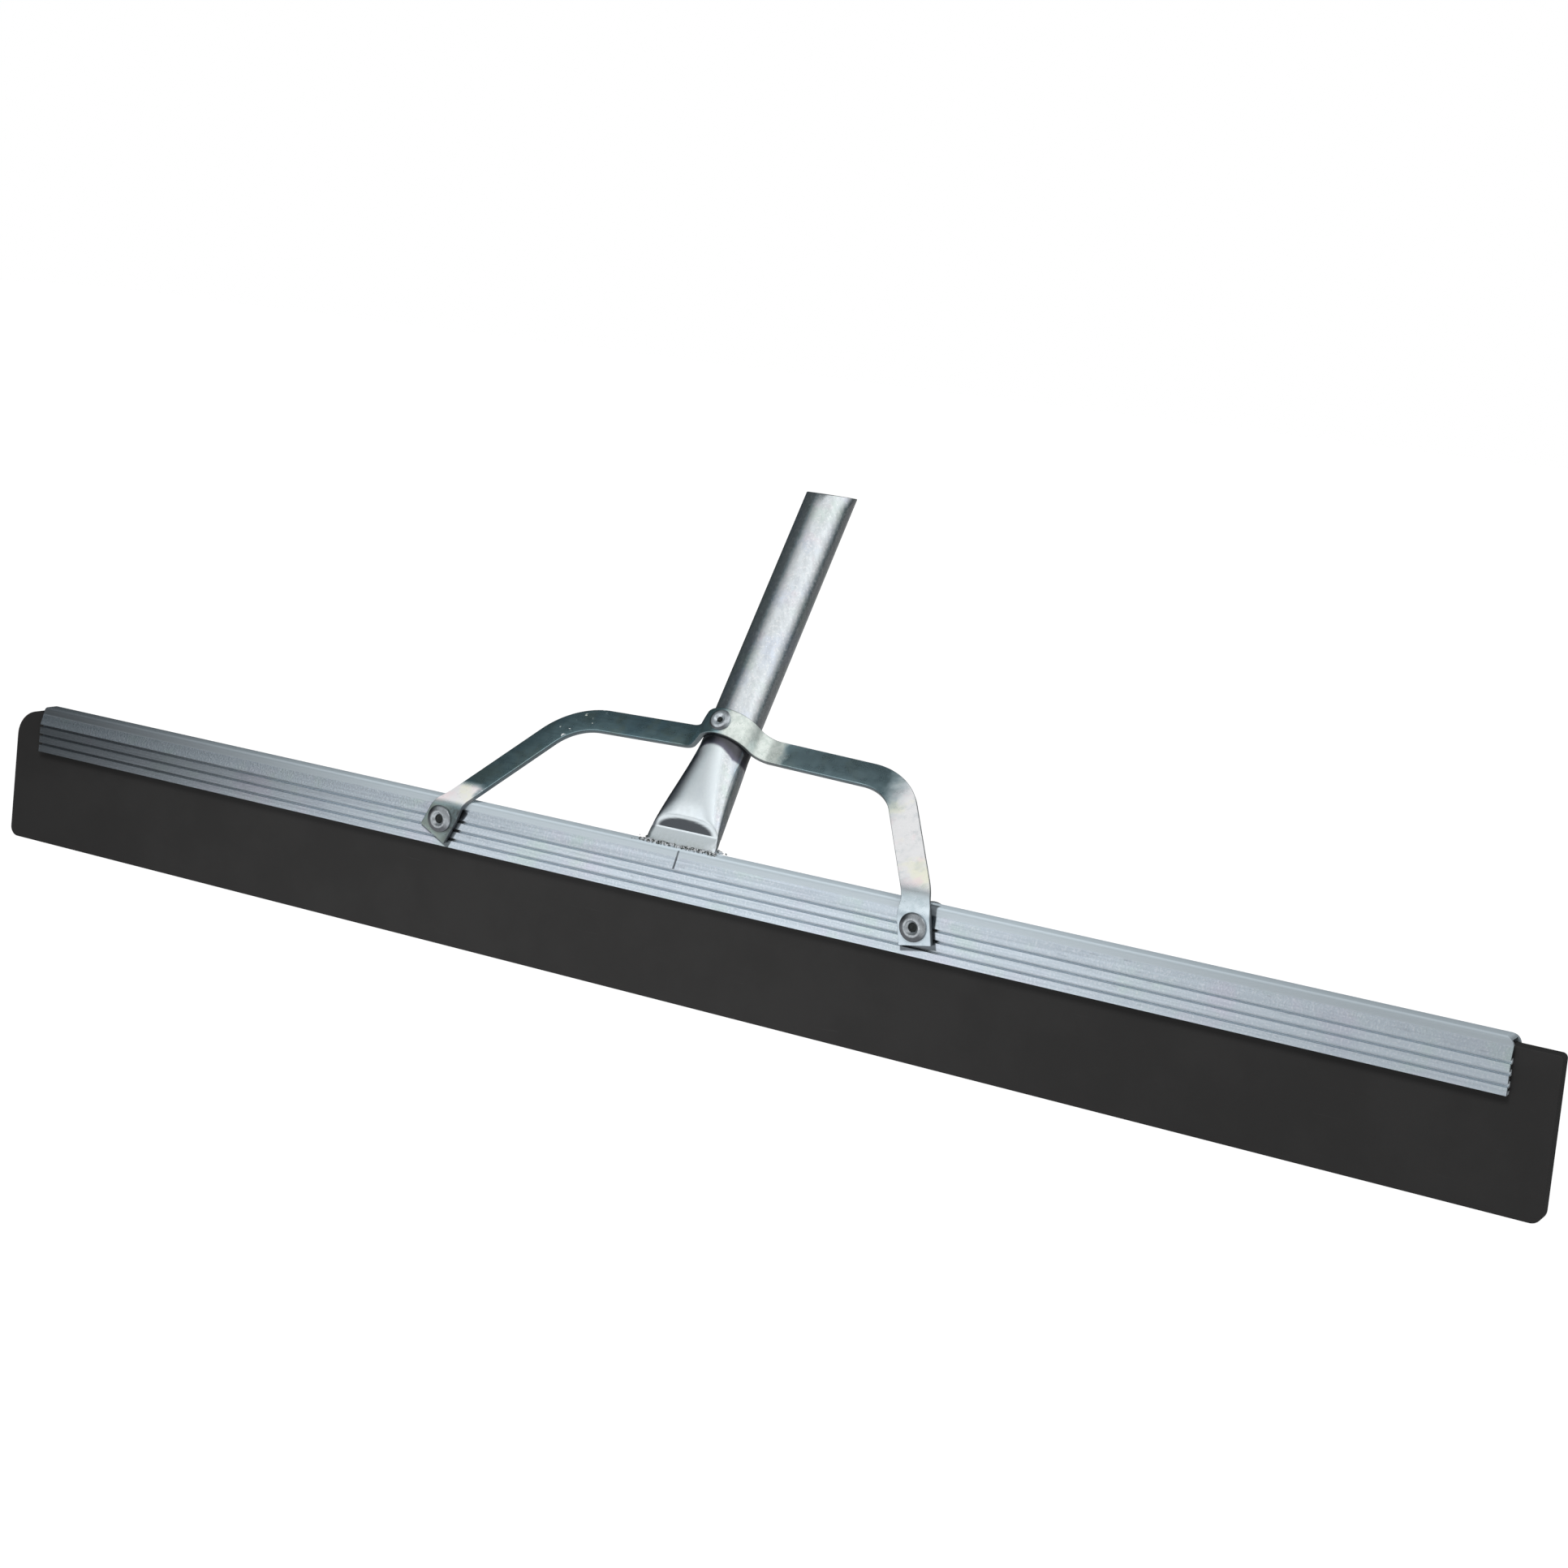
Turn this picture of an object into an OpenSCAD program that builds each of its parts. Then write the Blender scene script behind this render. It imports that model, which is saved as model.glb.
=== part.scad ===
// Straight floor squeegee: a rubber blade gripped in a ribbed sheet-metal
// channel, a socket tube welded to the crest of the channel, and a flat-bar
// brace riveted to the front of the channel and to the front of the tube.
// Millimetres. X runs along the blade, Z is up, -Y is the front.
// The origin is the middle of the blade's lower edge.

/* [Blade] */
// Length of the rubber blade
blade_length = 750; // [640:1:900]
// Thickness of the rubber blade
blade_thickness = 7; // [5:0.5:9]
// Height of rubber that shows below the lips of the channel
blade_drop = 44.4; // [30:0.2:60]
// Radius of the blade's big top corner, on the left seen from the front
blade_big_corner = 13; // [6:0.5:16]
// Radius of the blade's other top corner
blade_small_corner = 2; // [1:0.5:6]
// Radius of the blade's two lower corners
blade_low_corner = 4.5; // [1:0.5:10]

/* [Channel] */
// Length of the channel
channel_length = 715; // [560:1:735]
// Thickness of the channel's sheet
channel_sheet = 1.3; // [1:0.1:2]
// Height of the plain band between the crest and the first groove
plain_band = 8.6; // [7:0.1:12]
// Distance from one groove to the next
groove_pitch = 4.3; // [3.4:0.1:6]
// Number of grooves rolled into each wall
groove_count = 3; // [1:1:4]
// Height of the lip below the last groove
lip_band = 3.8; // [2.5:0.1:6]
// Height of a groove's mouth
groove_mouth = 1.3; // [1.2:0.1:2.4]
// Height of a groove's floor
groove_floor = 0.9; // [0.5:0.1:1.1]
// How far the ribbed part of a wall stands out past the crest
rib_spread = 2; // [1:0.1:4]
// Free height above the blade, under the crest
crest_gap = 1.7; // [1:0.1:4]
// Outer radius of the fold along the crest
crest_radius = 2; // [1.4:0.1:3]
// Radius of the crest's corner at the right end
crest_end_corner = 4; // [1:0.5:8]

/* [Socket tube] */
// Outer diameter of the socket tube
socket_od = 22; // [19:0.5:30]
// Wall of the socket tube
socket_wall = 1.4; // [1.2:0.1:2.5]
// Bore that the handle slides into
socket_bore_d = 19.6; // [17:0.1:19.8]
// Depth of that bore along the axis from the mouth of the tube
socket_reach = 111; // [80:1:140]
// Length of the tube along its axis, from the height of the crest
socket_length = 175; // [150:1:320]
// Slant of the cut across the tube's mouth, from square towards level
mouth_slant = 27; // [0:1:33]
// Lean of the tube towards the back, from upright
socket_lean = 33; // [25:1:38]
// How far behind the blade's middle the tube's axis meets the crest's height
socket_set_back = 5.5; // [3:0.1:7]
// Length along the axis over which the tube is flattened
flare_length = 44; // [38:0.5:46]
// Thickness of the flattened tab on the crest
tab_thickness = 3; // [2.8:0.1:4]
// Height of the flat part of the tab
tab_height = 4.5; // [3:0.1:7]
// How far behind the blade's middle the tab stands on the crest
tab_y = 1; // [0:0.1:1.5]

/* [Brace] */
// Width of the brace's flat bar
strap_width = 12; // [10:0.1:16]
// Thickness of the brace's flat bar
strap_thickness = 2.2; // [1.6:0.1:3.5]
// Half of the distance between the brace's two upper corners
corner_half_span = 81; // [60:0.5:100]
// Distance from the foot bends up to the arms, along the slope
arm_reach = 60.2; // [54:0.2:66]
// Rise of the arms from the corners to the tube
arm_rise = 2; // [0:0.1:4]
// Slope of the brace above the horizontal
brace_slope = 42.6; // [38:0.2:46]
// Radius of the upper corners at the middle of the bar
corner_radius = 27; // [12:0.5:30]
// Half of the distance between the two foot rivets
foot_half_span = 117.2; // [100:0.2:140]
// Width of the feet, where the bar is flattened
foot_width = 14.8; // [12:0.1:18]
// Length over which the bar widens into a foot
foot_spread = 9; // [6:0.5:14]
// Tilt of the left foot from upright, seen from the front
foot_splay_left = 27; // [8:1:30]
// Tilt of the right foot from upright, seen from the front
foot_splay_right = 10; // [4:1:24]
// Length of a foot below its rivet
foot_tail = 7.3; // [6:0.1:9]
// Radius of the edge bend between leg and foot
ankle_radius = 40; // [25:1:60]
// Inner radius of the fold where the foot turns over the crest
foot_fold_radius = 4; // [2.5:0.1:6]
// Angle of tube that the brace wraps to the left of the front
wrap_angle_left = 52; // [46:1:74]
// Angle of tube that the brace wraps to the right of the front
wrap_angle_right = 74; // [46:1:76]
// Radius of the bend between the wrap and an arm
shoulder_radius = 9; // [5:0.5:9.5]
// Place of the brace's middle along the tube, from the height of the crest
wrap_station = 53.5; // [51:0.5:58]

/* [Rivets] */
// Body diameter of the foot rivets
foot_rivet_d = 6.4; // [4.8:0.1:7]
// Flange diameter of the foot rivets
foot_flange_d = 12; // [10:0.1:13]
// Height of the foot rivets' domed flange
foot_flange_h = 1.9; // [1.2:0.1:2.5]
// Body diameter of the socket rivet
socket_rivet_d = 4.8; // [4:0.1:5.5]
// Flange diameter of the socket rivet
socket_flange_d = 9.5; // [8:0.1:11]
// Height of the socket rivet's flange at its middle
socket_flange_h = 1.5; // [1:0.1:2]
// Diameter of the backing washers behind the channel
washer_d = 16; // [14:0.5:20]
// Thickness of the backing washers
washer_t = 1.2; // [0.8:0.1:2]
// Diameter of the foot rivets' broken-off pins
foot_pin_d = 4; // [2.5:0.1:4.2]
// Diameter of the socket rivet's broken-off pin
socket_pin_d = 2.7; // [2:0.1:3]
// How deep the foot rivets' pins lie below their flanges
foot_pin_recess = 1.6; // [0.5:0.1:2.5]
// How deep the socket rivet's pin lies below its flange
socket_pin_recess = 1.2; // [0.5:0.1:2]
// Length of the swollen blind end of a foot rivet
foot_blind_length = 5; // [3:0.1:7]
// Length of the swollen blind end of the socket rivet
socket_blind_length = 3.6; // [2.5:0.1:5]
// Clearance between a rivet's body and its hole, all round
rivet_clearance = 0.1; // [0.05:0.05:0.3]

/* [Weld] */
// Height of the weld beads on the tab
weld_leg = 2.6; // [1.5:0.1:3.5]
// How far the weld beads run past the tab at each end
weld_run_out = 2.5; // [0:0.5:8]

/* [Fits] */
// Gap between the blade and the inside of the crest, each side
blade_play = 0.1; // [0:0.05:0.3]
// Gap between parts that rest on each other over a curved or ribbed face
seat_gap = 0.05; // [0.03:0.01:0.2]
// Gap between the brace and the fold of the crest
crest_clearance = 0.2; // [0.1:0.05:0.6]

/* [Hidden] */
zinc = [0.66, 0.70, 0.74];
bright_zinc = [0.74, 0.77, 0.80];
rubber = [0.07, 0.07, 0.075];
weld_grey = [0.48, 0.49, 0.50];
dark_steel = [0.20, 0.21, 0.22];

// Channel heights and half thicknesses
channel_height = plain_band + (groove_count - 1) * groove_pitch + lip_band;
lip_z = blade_drop;
crest_z = lip_z + channel_height;
blade_half = blade_thickness / 2;
blade_top = crest_z - channel_sheet - crest_gap;
crest_half = blade_half + blade_play + channel_sheet;
rib_half = crest_half + rib_spread;
groove_half = blade_half + channel_sheet;
first_groove_z = crest_z - plain_band;
groove_shoulder = (groove_mouth - groove_floor) / 2;
fold_steps = 8;

// Directions in the YZ plane at an angle above the horizontal
function along(angle) = [0, cos(angle), sin(angle)];
function across(angle) = [0, -sin(angle), cos(angle)];

// Tube axis
socket_r = socket_od / 2;
bore_r = socket_r - socket_wall;
reach_floor = socket_length - socket_reach;
tube_rise = 90 - socket_lean;
tube_dir = along(tube_rise);
tube_front = across(tube_rise);
tube_foot = [0, socket_set_back, crest_z];

// Flattened end: its half width and half thickness keep the tube's girth
girth_power = ln(2) / ln(PI / 2);
tab_half = tab_thickness / 2;
tab_half_width = pow(2 * pow(socket_r, girth_power) - pow(tab_half, girth_power), 1 / girth_power);
tab_shift = (socket_set_back - tab_y) * cos(socket_lean);
dent_slope = 0.62;
rear_slope = 1.2;
flare_curve = 1.3;
squareness = 1.2;
crush_run = 10;
crushed_length = tab_height + crush_run;
margin = 1;
ring_points = 36;
flare_rings = 26;
cavity_rings = 8;
flare_floor = -6;

// Brace frame: the foot plane, the fold line and the sloping plane
foot_mid_y = -(rib_half + seat_gap + strap_thickness / 2);
slope_dir = along(brace_slope);
slope_normal = across(brace_slope);
crest_corner = [0, -(crest_half - crest_radius), crest_z - crest_radius];
slope_offset = crest_corner * slope_normal + crest_radius + crest_clearance + strap_thickness / 2;
fold_z = (slope_offset - foot_mid_y * slope_normal.y) / slope_normal.z;
fold_point = [0, foot_mid_y, fold_z];
fold_turn = 90 - brace_slope;
fold_mid_radius = foot_fold_radius + strap_thickness / 2;
fold_tangent = fold_mid_radius * tan(fold_turn / 2);
foot_rivet_z = first_groove_z;

// Brace path in its own flat pattern: x across, h up the slope, the fold at h = 0
rivet_h = foot_rivet_z - fold_z;
foot_end_h = rivet_h - foot_tail;
corner_point = [corner_half_span, arm_reach];
ankle_h = 6;
arc_steps = 12;
foot_steps = 24;

// Brace where it wraps the tube, measured from the tube's axis
wrap_mid_radius = socket_r + seat_gap + strap_thickness / 2;
arm_mid = fold_point + slope_dir * (arm_reach + arm_rise) - tube_foot;
arm_depth = arm_mid * tube_front;
arm_station = arm_mid * tube_dir;
wrap_steps = 10;
ramp_steps = 4;
shoulder_steps = 8;

// Rivet stacks: from the flange's seat to the blind end
foot_seat_y = foot_mid_y - strap_thickness / 2;
washer_face_y = rib_half + seat_gap;
foot_blind_y = washer_face_y + washer_t + seat_gap;
foot_grip = foot_blind_y - foot_seat_y;
socket_seat_depth = wrap_mid_radius + strap_thickness / 2;
blind_stand_off = 0.3;
socket_grip = socket_seat_depth - bore_r + blind_stand_off;
flange_saddle = socket_seat_depth - sqrt(pow(socket_seat_depth, 2) - pow(socket_flange_d / 2, 2));
pin_play = 0.05;
blind_swell = 1.36;
dish_rim = 0.8;
pin_head = 1.8;

function mix(a, b, k) = a + (b - a) * k;
function smooth(k) = k * k * (3 - 2 * k);
function heading(a, b) = atan2(b.y - a.y, b.x - a.x);

// A closed surface through a row of rings that all have the same number of points
module sweep(rings) {
    n = len(rings[0]);
    last = len(rings) - 1;
    points = [for (ring = rings) each ring];
    sides = [for (i = [0:last - 1], j = [0:n - 1], half = [0, 1])
        let (a = i * n + j, b = i * n + (j + 1) % n)
        half == 0 ? [a, a + n, b + n] : [a, b + n, b]];
    caps = [[for (j = [0:n - 1]) j], [for (j = [n - 1:-1:0]) last * n + j]];
    polyhedron(points, concat(sides, caps), convexity = 6);
}

// Outer half thickness of the channel's wall, from the lip up to the crest's fold
wall_outer = concat(
    [[rib_half, lip_z]],
    [for (i = [groove_count - 1:-1:0])
        let (z = first_groove_z - i * groove_pitch)
        each [[rib_half, z - groove_mouth / 2], [groove_half, z - groove_floor / 2],
            [groove_half, z + groove_floor / 2], [rib_half, z + groove_mouth / 2]]],
    [for (k = [0:fold_steps])
        let (a = 90 * k / fold_steps)
        [crest_half - crest_radius * (1 - cos(a)), crest_z - crest_radius * (1 - sin(a))]]);

// Inner half thickness: the sheet follows the ribs and touches the rubber at each groove
wall_inner = concat(
    [[blade_half, lip_z], [blade_half, lip_z + channel_sheet],
        [rib_half - channel_sheet, lip_z + channel_sheet]],
    [for (i = [groove_count - 1:-1:0])
        let (z = first_groove_z - i * groove_pitch, grip = groove_floor / 2 + channel_sheet / 2)
        each [[rib_half - channel_sheet, z - grip - groove_shoulder / 2], [blade_half, z - grip],
            [blade_half, z + grip], [rib_half - channel_sheet, z + grip + groove_shoulder / 2]]],
    [[crest_half - channel_sheet, blade_top + crest_gap / 2],
        [crest_half - channel_sheet, crest_z - channel_sheet]]);

function flipped(points) = [for (i = [len(points) - 1:-1:0]) points[i]];
function mirrored(points) = [for (p = points) [-p.x, p.y]];

module channel_section() {
    polygon(concat(wall_outer, mirrored(flipped(wall_outer)), mirrored(wall_inner), flipped(wall_inner)));
}

// Places a child that is drawn along +Z so that it runs along +Y through a foot rivet
module at_foot_rivet(side) {
    translate([side * foot_half_span, 0, foot_rivet_z])
        rotate([-90, 0, 0])
            children();
}

// Places a child that is drawn along +Z on the tube's axis, at a distance from the crest's height
module at_tube(station) {
    translate(tube_foot + tube_dir * station)
        rotate([-socket_lean, 0, 0])
            children();
}

// Places a child that is drawn along +Z so that it points out of the tube's front at the wrap
module at_socket_rivet() {
    at_tube(wrap_station)
        rotate([90, 0, 0])
            children();
}

// The folded sheet: two ribbed walls and the crest, cut round at the right end of the crest
module channel() {
    color(zinc)
        difference() {
            translate([-channel_length / 2, 0, 0])
                rotate([90, 0, 90])
                    linear_extrude(channel_length)
                        channel_section();
            translate([channel_length / 2 - crest_end_corner, -rib_half - margin, crest_z - crest_end_corner])
                difference() {
                    cube([crest_end_corner + margin, 2 * (rib_half + margin), crest_end_corner + margin]);
                    rotate([-90, 0, 0])
                        cylinder(h = 2 * (rib_half + margin), r = crest_end_corner, $fn = 48);
                }
            for (side = [-1, 1])
                at_foot_rivet(side)
                    cylinder(h = 4 * rib_half, d = foot_rivet_d + 2 * rivet_clearance,
                        center = true, $fn = 48);
        }
}

// One corner of the blade's outline: an arc of points from one angle through a right angle
function corner_arc(x, z, radius, start) = [for (k = [0:fold_steps])
    let (a = start + 90 * k / fold_steps) [x + radius * cos(a), z + radius * sin(a)]];

module rubber_blade() {
    half = blade_length / 2;
    low = blade_low_corner;
    small = blade_small_corner;
    big = blade_big_corner;
    color(rubber)
        difference() {
            translate([0, blade_half, 0])
                rotate([90, 0, 0])
                    linear_extrude(blade_thickness)
                        polygon(concat(corner_arc(half - low, low, low, -90),
                            corner_arc(half - small, blade_top - small, small, 0),
                            corner_arc(big - half, blade_top - big, big, 90),
                            corner_arc(low - half, low, low, 180)));
            for (side = [-1, 1])
                at_foot_rivet(side)
                    cylinder(h = 2 * blade_thickness, d = foot_rivet_d + 2 * rivet_clearance,
                        center = true, $fn = 48);
        }
}

// Half width, half thickness and forward shift of the flattened end at a station on the axis
function flare_share(s) = 1 - max(0, min(1, s / flare_length));
function flare_width(s) = mix(socket_r, tab_half_width, pow(flare_share(s), flare_curve));
function flare_depth(s) = pow(max(0, 2 * pow(socket_r, girth_power) - pow(flare_width(s), girth_power)),
    1 / girth_power);
function flare_shift(s) = tab_shift * smooth(flare_share(s));

// Planes that press the tab flat: above it the front one leaves a dent and the rear one a step
function dent_limit(s) = tab_shift + tab_half + max(0, s - tab_height) * dent_slope;
function rear_limit(s) = tab_shift - tab_half - max(0, s - tab_height) * rear_slope;

// One ring of the flattened end, thinned by a wall: 0 gives the outside
function flare_ring(s, thin) =
    let (w = flare_width(s) - thin,
        d = max(flare_depth(s), tab_half) - thin,
        square = 2 - flare_share(s) * squareness,
        front = dent_limit(s) - thin,
        rear = rear_limit(s) + thin)
    [for (j = [0:ring_points - 1])
        let (t = -360 * j / ring_points,
            x = w * sign(cos(t)) * pow(abs(cos(t)), square / 2),
            e = flare_shift(s) + d * sign(sin(t)) * pow(abs(sin(t)), square / 2))
        tube_foot + tube_dir * s + tube_front * max(rear, min(e, front)) + [x, 0, 0]];

function flare_stations(low, count) = [for (i = [0:count]) mix(low, flare_length + margin, i / count)];

module socket_tube() {
    tuck = 0.08;
    step = 0.25;
    cutter = 4 * socket_od;
    mouth_rise = socket_r * tan(mouth_slant) + margin;
    color(bright_zinc)
        difference() {
            union() {
                difference() {
                    sweep([for (s = flare_stations(flare_floor, flare_rings)) flare_ring(s, tuck)]);
                    translate([-cutter / 2, -cutter / 2, crest_z - cutter])
                        cube(cutter);
                }
                at_tube(flare_length)
                    cylinder(h = socket_length - flare_length + mouth_rise, r = socket_r, $fn = 96);
            }
            at_tube(socket_length)
                rotate([mouth_slant, 0, 0])
                    translate([-cutter / 2, -cutter / 2, 0])
                        cube(cutter);
            sweep([for (s = flare_stations(crushed_length, cavity_rings)) flare_ring(s, socket_wall + step)]);
            at_tube(flare_length)
                cylinder(h = socket_length, r = bore_r, $fn = 96);
            at_tube(reach_floor)
                cylinder(h = socket_length, d = socket_bore_d, $fn = 96);
            at_socket_rivet()
                cylinder(h = socket_od, d = socket_rivet_d + 2 * rivet_clearance, $fn = 48);
        }
}

// A point of the brace's sheet: x across, h along the flat pattern, off out of its middle plane
function sheet_point(x, h, off) =
    h >= fold_tangent ? fold_point + [x, 0, 0] + slope_dir * h + slope_normal * off :
    h <= -fold_tangent ? fold_point + [x, -off, h] :
    let (turn = fold_turn * (h + fold_tangent) / (2 * fold_tangent), r = fold_mid_radius + off)
    [x, foot_mid_y + fold_mid_radius - r * cos(turn), fold_z - fold_tangent + r * sin(turn)];

// Width of the bar at a height of its pattern: it widens from just above the fold into the foot
function bar_width(h) = mix(strap_width, foot_width, smooth(max(0, min(1, (ankle_h - h) / foot_spread))));

// Four corners of the flat bar at a station of its pattern: place and heading
function bar_ring(station) =
    let (p = [station.x, station.y], a = station.z, side = [-sin(a), cos(a)] * bar_width(p.y) / 2)
    [for (c = [[-1, -1], [1, -1], [1, 1], [-1, 1]])
        let (q = p + side * c.x) sheet_point(q.x, q.y, c.y * strap_thickness / 2)];

// Stations along a rounded corner of the pattern, from the leg before it to the leg after it
function bend_stations(a, b, c, radius) =
    let (h0 = heading(a, b), h1 = heading(b, c), turn = h1 - h0, reach = radius * tan(abs(turn) / 2),
        start = b - reach * [cos(h0), sin(h0)], side = sign(turn),
        centre = start + side * radius * [-sin(h0), cos(h0)])
    [for (k = [0:arc_steps])
        let (h = h0 + turn * k / arc_steps)
        [centre.x + side * radius * sin(h), centre.y - side * radius * cos(h), h]];

// A ring across the wrapped bar: turn leans it round the tube, twist brings it into the arms' plane,
// and run, from 0 at the middle to 1 at the arm, slides it along the tube to the arm
function wrap_ring(x, depth, turn, twist, run) =
    let (angle = mix(tube_rise, brace_slope, smooth(twist)),
        normal = [sin(turn), 0, 0] + cos(turn) * across(angle),
        mid = tube_foot + [x, 0, 0] + tube_front * depth
            + tube_dir * mix(wrap_station, arm_station, smooth(run)))
    [for (c = [[-1, -1], [1, -1], [1, 1], [-1, 1]])
        mid + along(angle) * c.x * strap_width / 2 + normal * c.y * strap_thickness / 2];

// Length of an arc of some degrees
function arc(radius, angle) = radius * angle * PI / 180;

// Straight ramp between a wrap and its shoulder, and where it ends
function ramp_length(wrap) =
    (wrap_mid_radius * cos(wrap) - shoulder_radius * (1 - cos(wrap)) - arm_depth) / sin(wrap);
function ramp_x(wrap) = wrap_mid_radius * sin(wrap) + ramp_length(wrap) * cos(wrap);

// Rings from the middle of a wrap to the end of its right shoulder
function wrap_rings(wrap) =
    let (ramp = ramp_length(wrap), end_x = ramp_x(wrap),
        start_x = wrap_mid_radius * sin(wrap), start_depth = wrap_mid_radius * cos(wrap),
        wrapped = arc(wrap_mid_radius, wrap), whole = wrapped + ramp + arc(shoulder_radius, wrap))
    concat(
        [for (i = [0:wrap_steps])
            let (a = wrap * i / wrap_steps)
            wrap_ring(wrap_mid_radius * sin(a), wrap_mid_radius * cos(a), a, 0,
                arc(wrap_mid_radius, a) / whole)],
        [for (i = [1:ramp_steps])
            let (q = ramp * i / ramp_steps)
            wrap_ring(start_x + q * cos(wrap), start_depth - q * sin(wrap), wrap, i / ramp_steps / 2,
                (wrapped + q) / whole)],
        [for (i = [1:shoulder_steps])
            let (a = wrap * (1 - i / shoulder_steps))
            wrap_ring(end_x + shoulder_radius * (sin(wrap) - sin(a)),
                arm_depth + shoulder_radius * (1 - cos(a)), a, (1 + i / shoulder_steps) / 2,
                1 - arc(shoulder_radius, a) / whole)]);

// Rings of the right half of a brace, from the middle of its wrap to a foot with the given tilt
function half_brace(wrap, splay) =
    let (shoulder_point = [ramp_x(wrap) + shoulder_radius * sin(wrap), arm_reach + arm_rise],
        line_x = foot_half_span + rivet_h * tan(splay),
        ankle = [line_x - ankle_h * tan(splay), ankle_h],
        foot_end = [line_x - foot_end_h * tan(splay), foot_end_h],
        down = heading(ankle, foot_end), turn = down - heading(corner_point, ankle),
        start = ankle + ankle_radius * tan(abs(turn) / 2) * [cos(down), sin(down)])
    concat(wrap_rings(wrap),
        [for (s = bend_stations(shoulder_point, corner_point, ankle, corner_radius)) bar_ring(s)],
        [for (s = bend_stations(corner_point, ankle, foot_end, ankle_radius)) bar_ring(s)],
        [for (i = [1:foot_steps])
            let (p = mix(start, foot_end, i / foot_steps)) bar_ring([p.x, p.y, down])]);

module brace_strap() {
    left = half_brace(wrap_angle_left, foot_splay_left);
    color(zinc)
        difference() {
            sweep(concat(
                [for (i = [len(left) - 1:-1:1]) [for (p = left[i]) [-p.x, p.y, p.z]]],
                half_brace(wrap_angle_right, foot_splay_right)));
            for (side = [-1, 1])
                at_foot_rivet(side)
                    translate([0, 0, -rib_half - 2 * strap_thickness])
                        cylinder(h = 3 * strap_thickness, d = foot_rivet_d + 2 * rivet_clearance, $fn = 48);
            at_socket_rivet()
                cylinder(h = socket_od, d = socket_rivet_d + 2 * rivet_clearance, $fn = 48);
        }
}

// A domed flange with a dished middle, above its seat at z = 0; a skirt reaches below the seat
module rivet_flange(flange_d, flange_h, skirt, pin_d) {
    dish = pin_d / 2 + dish_rim;
    crown = dish + dish_rim / 2;
    rim = flange_h / 3;
    rotate_extrude($fn = 48)
        polygon(concat(
            [[pin_d / 2, skirt], [pin_d / 2, -flange_h / 2], [dish, -flange_h * 3 / 4], [crown, -flange_h]],
            [for (a = [75:-15:0]) [mix(crown, flange_d / 2, cos(a)), -rim - (flange_h - rim) * sin(a)]],
            [[flange_d / 2, skirt]]));
}

// A rivet's hollow body from its seat at z = 0 down to its swollen blind end
module rivet_body(body_d, grip, blind, pin_d) {
    swell = body_d * blind_swell / 2;
    rotate_extrude($fn = 48)
        polygon([[pin_d / 2, 0], [body_d / 2, 0], [body_d / 2, grip], [swell, grip + blind / 3],
            [swell, grip + blind * 2 / 3], [body_d / 2, grip + blind], [pin_d / 2, grip + blind]]);
}

module foot_rivet(side) {
    color(bright_zinc)
        translate([0, foot_seat_y, 0])
            at_foot_rivet(side) {
                rivet_flange(foot_flange_d, foot_flange_h, 0, foot_pin_d);
                rivet_body(foot_rivet_d, foot_grip, foot_blind_length, foot_pin_d);
            }
}

module foot_rivet_left() {
    foot_rivet(-1);
}

module foot_rivet_right() {
    foot_rivet(1);
}

// Places a child that is drawn down from a seat at z = 0 on the front of the wrapped brace
module at_socket_seat() {
    at_socket_rivet()
        translate([0, 0, socket_seat_depth])
            rotate([180, 0, 0])
                children();
}

// The flange of the socket rivet is shaped to the round front of the brace
module socket_rivet() {
    overlap = socket_flange_h / 4;
    color(bright_zinc) {
        difference() {
            at_socket_seat()
                rivet_flange(socket_flange_d, socket_flange_h, flange_saddle, socket_pin_d);
            at_tube(0)
                cylinder(h = socket_length, r = socket_seat_depth + seat_gap, $fn = 96);
        }
        at_socket_seat()
            translate([0, 0, -overlap])
                rivet_body(socket_rivet_d, socket_grip + overlap, socket_blind_length, socket_pin_d);
    }
}

// A broken-off pin, from its recess under the flange's top to the head at the blind end
module rivet_pin(pin_d, body_d, grip, blind, start) {
    shank = pin_d / 2 - pin_play;
    end = grip + blind + pin_play;
    rotate_extrude($fn = 32)
        polygon([[0, start], [shank, start], [shank, end], [body_d / 2, end],
            [body_d / 2, end + pin_head / 2], [body_d / 4, end + pin_head], [0, end + pin_head]]);
}

module foot_rivet_pin(side) {
    color(dark_steel)
        translate([0, foot_seat_y, 0])
            at_foot_rivet(side)
                rivet_pin(foot_pin_d, foot_rivet_d, foot_grip, foot_blind_length,
                    foot_pin_recess - foot_flange_h);
}

module foot_rivet_pin_left() {
    foot_rivet_pin(-1);
}

module foot_rivet_pin_right() {
    foot_rivet_pin(1);
}

module socket_rivet_pin() {
    color(dark_steel)
        at_socket_seat()
            rivet_pin(socket_pin_d, socket_rivet_d, socket_grip, socket_blind_length,
                socket_pin_recess - socket_flange_h);
}

module backing_washer(side) {
    color(bright_zinc)
        translate([0, washer_face_y, 0])
            at_foot_rivet(side)
                difference() {
                    cylinder(h = washer_t, d = washer_d, $fn = 64);
                    translate([0, 0, -margin])
                        cylinder(h = washer_t + 2 * margin, d = foot_rivet_d + 2 * rivet_clearance, $fn = 48);
                }
}

module backing_washer_left() {
    backing_washer(-1);
}

module backing_washer_right() {
    backing_washer(1);
}

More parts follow.
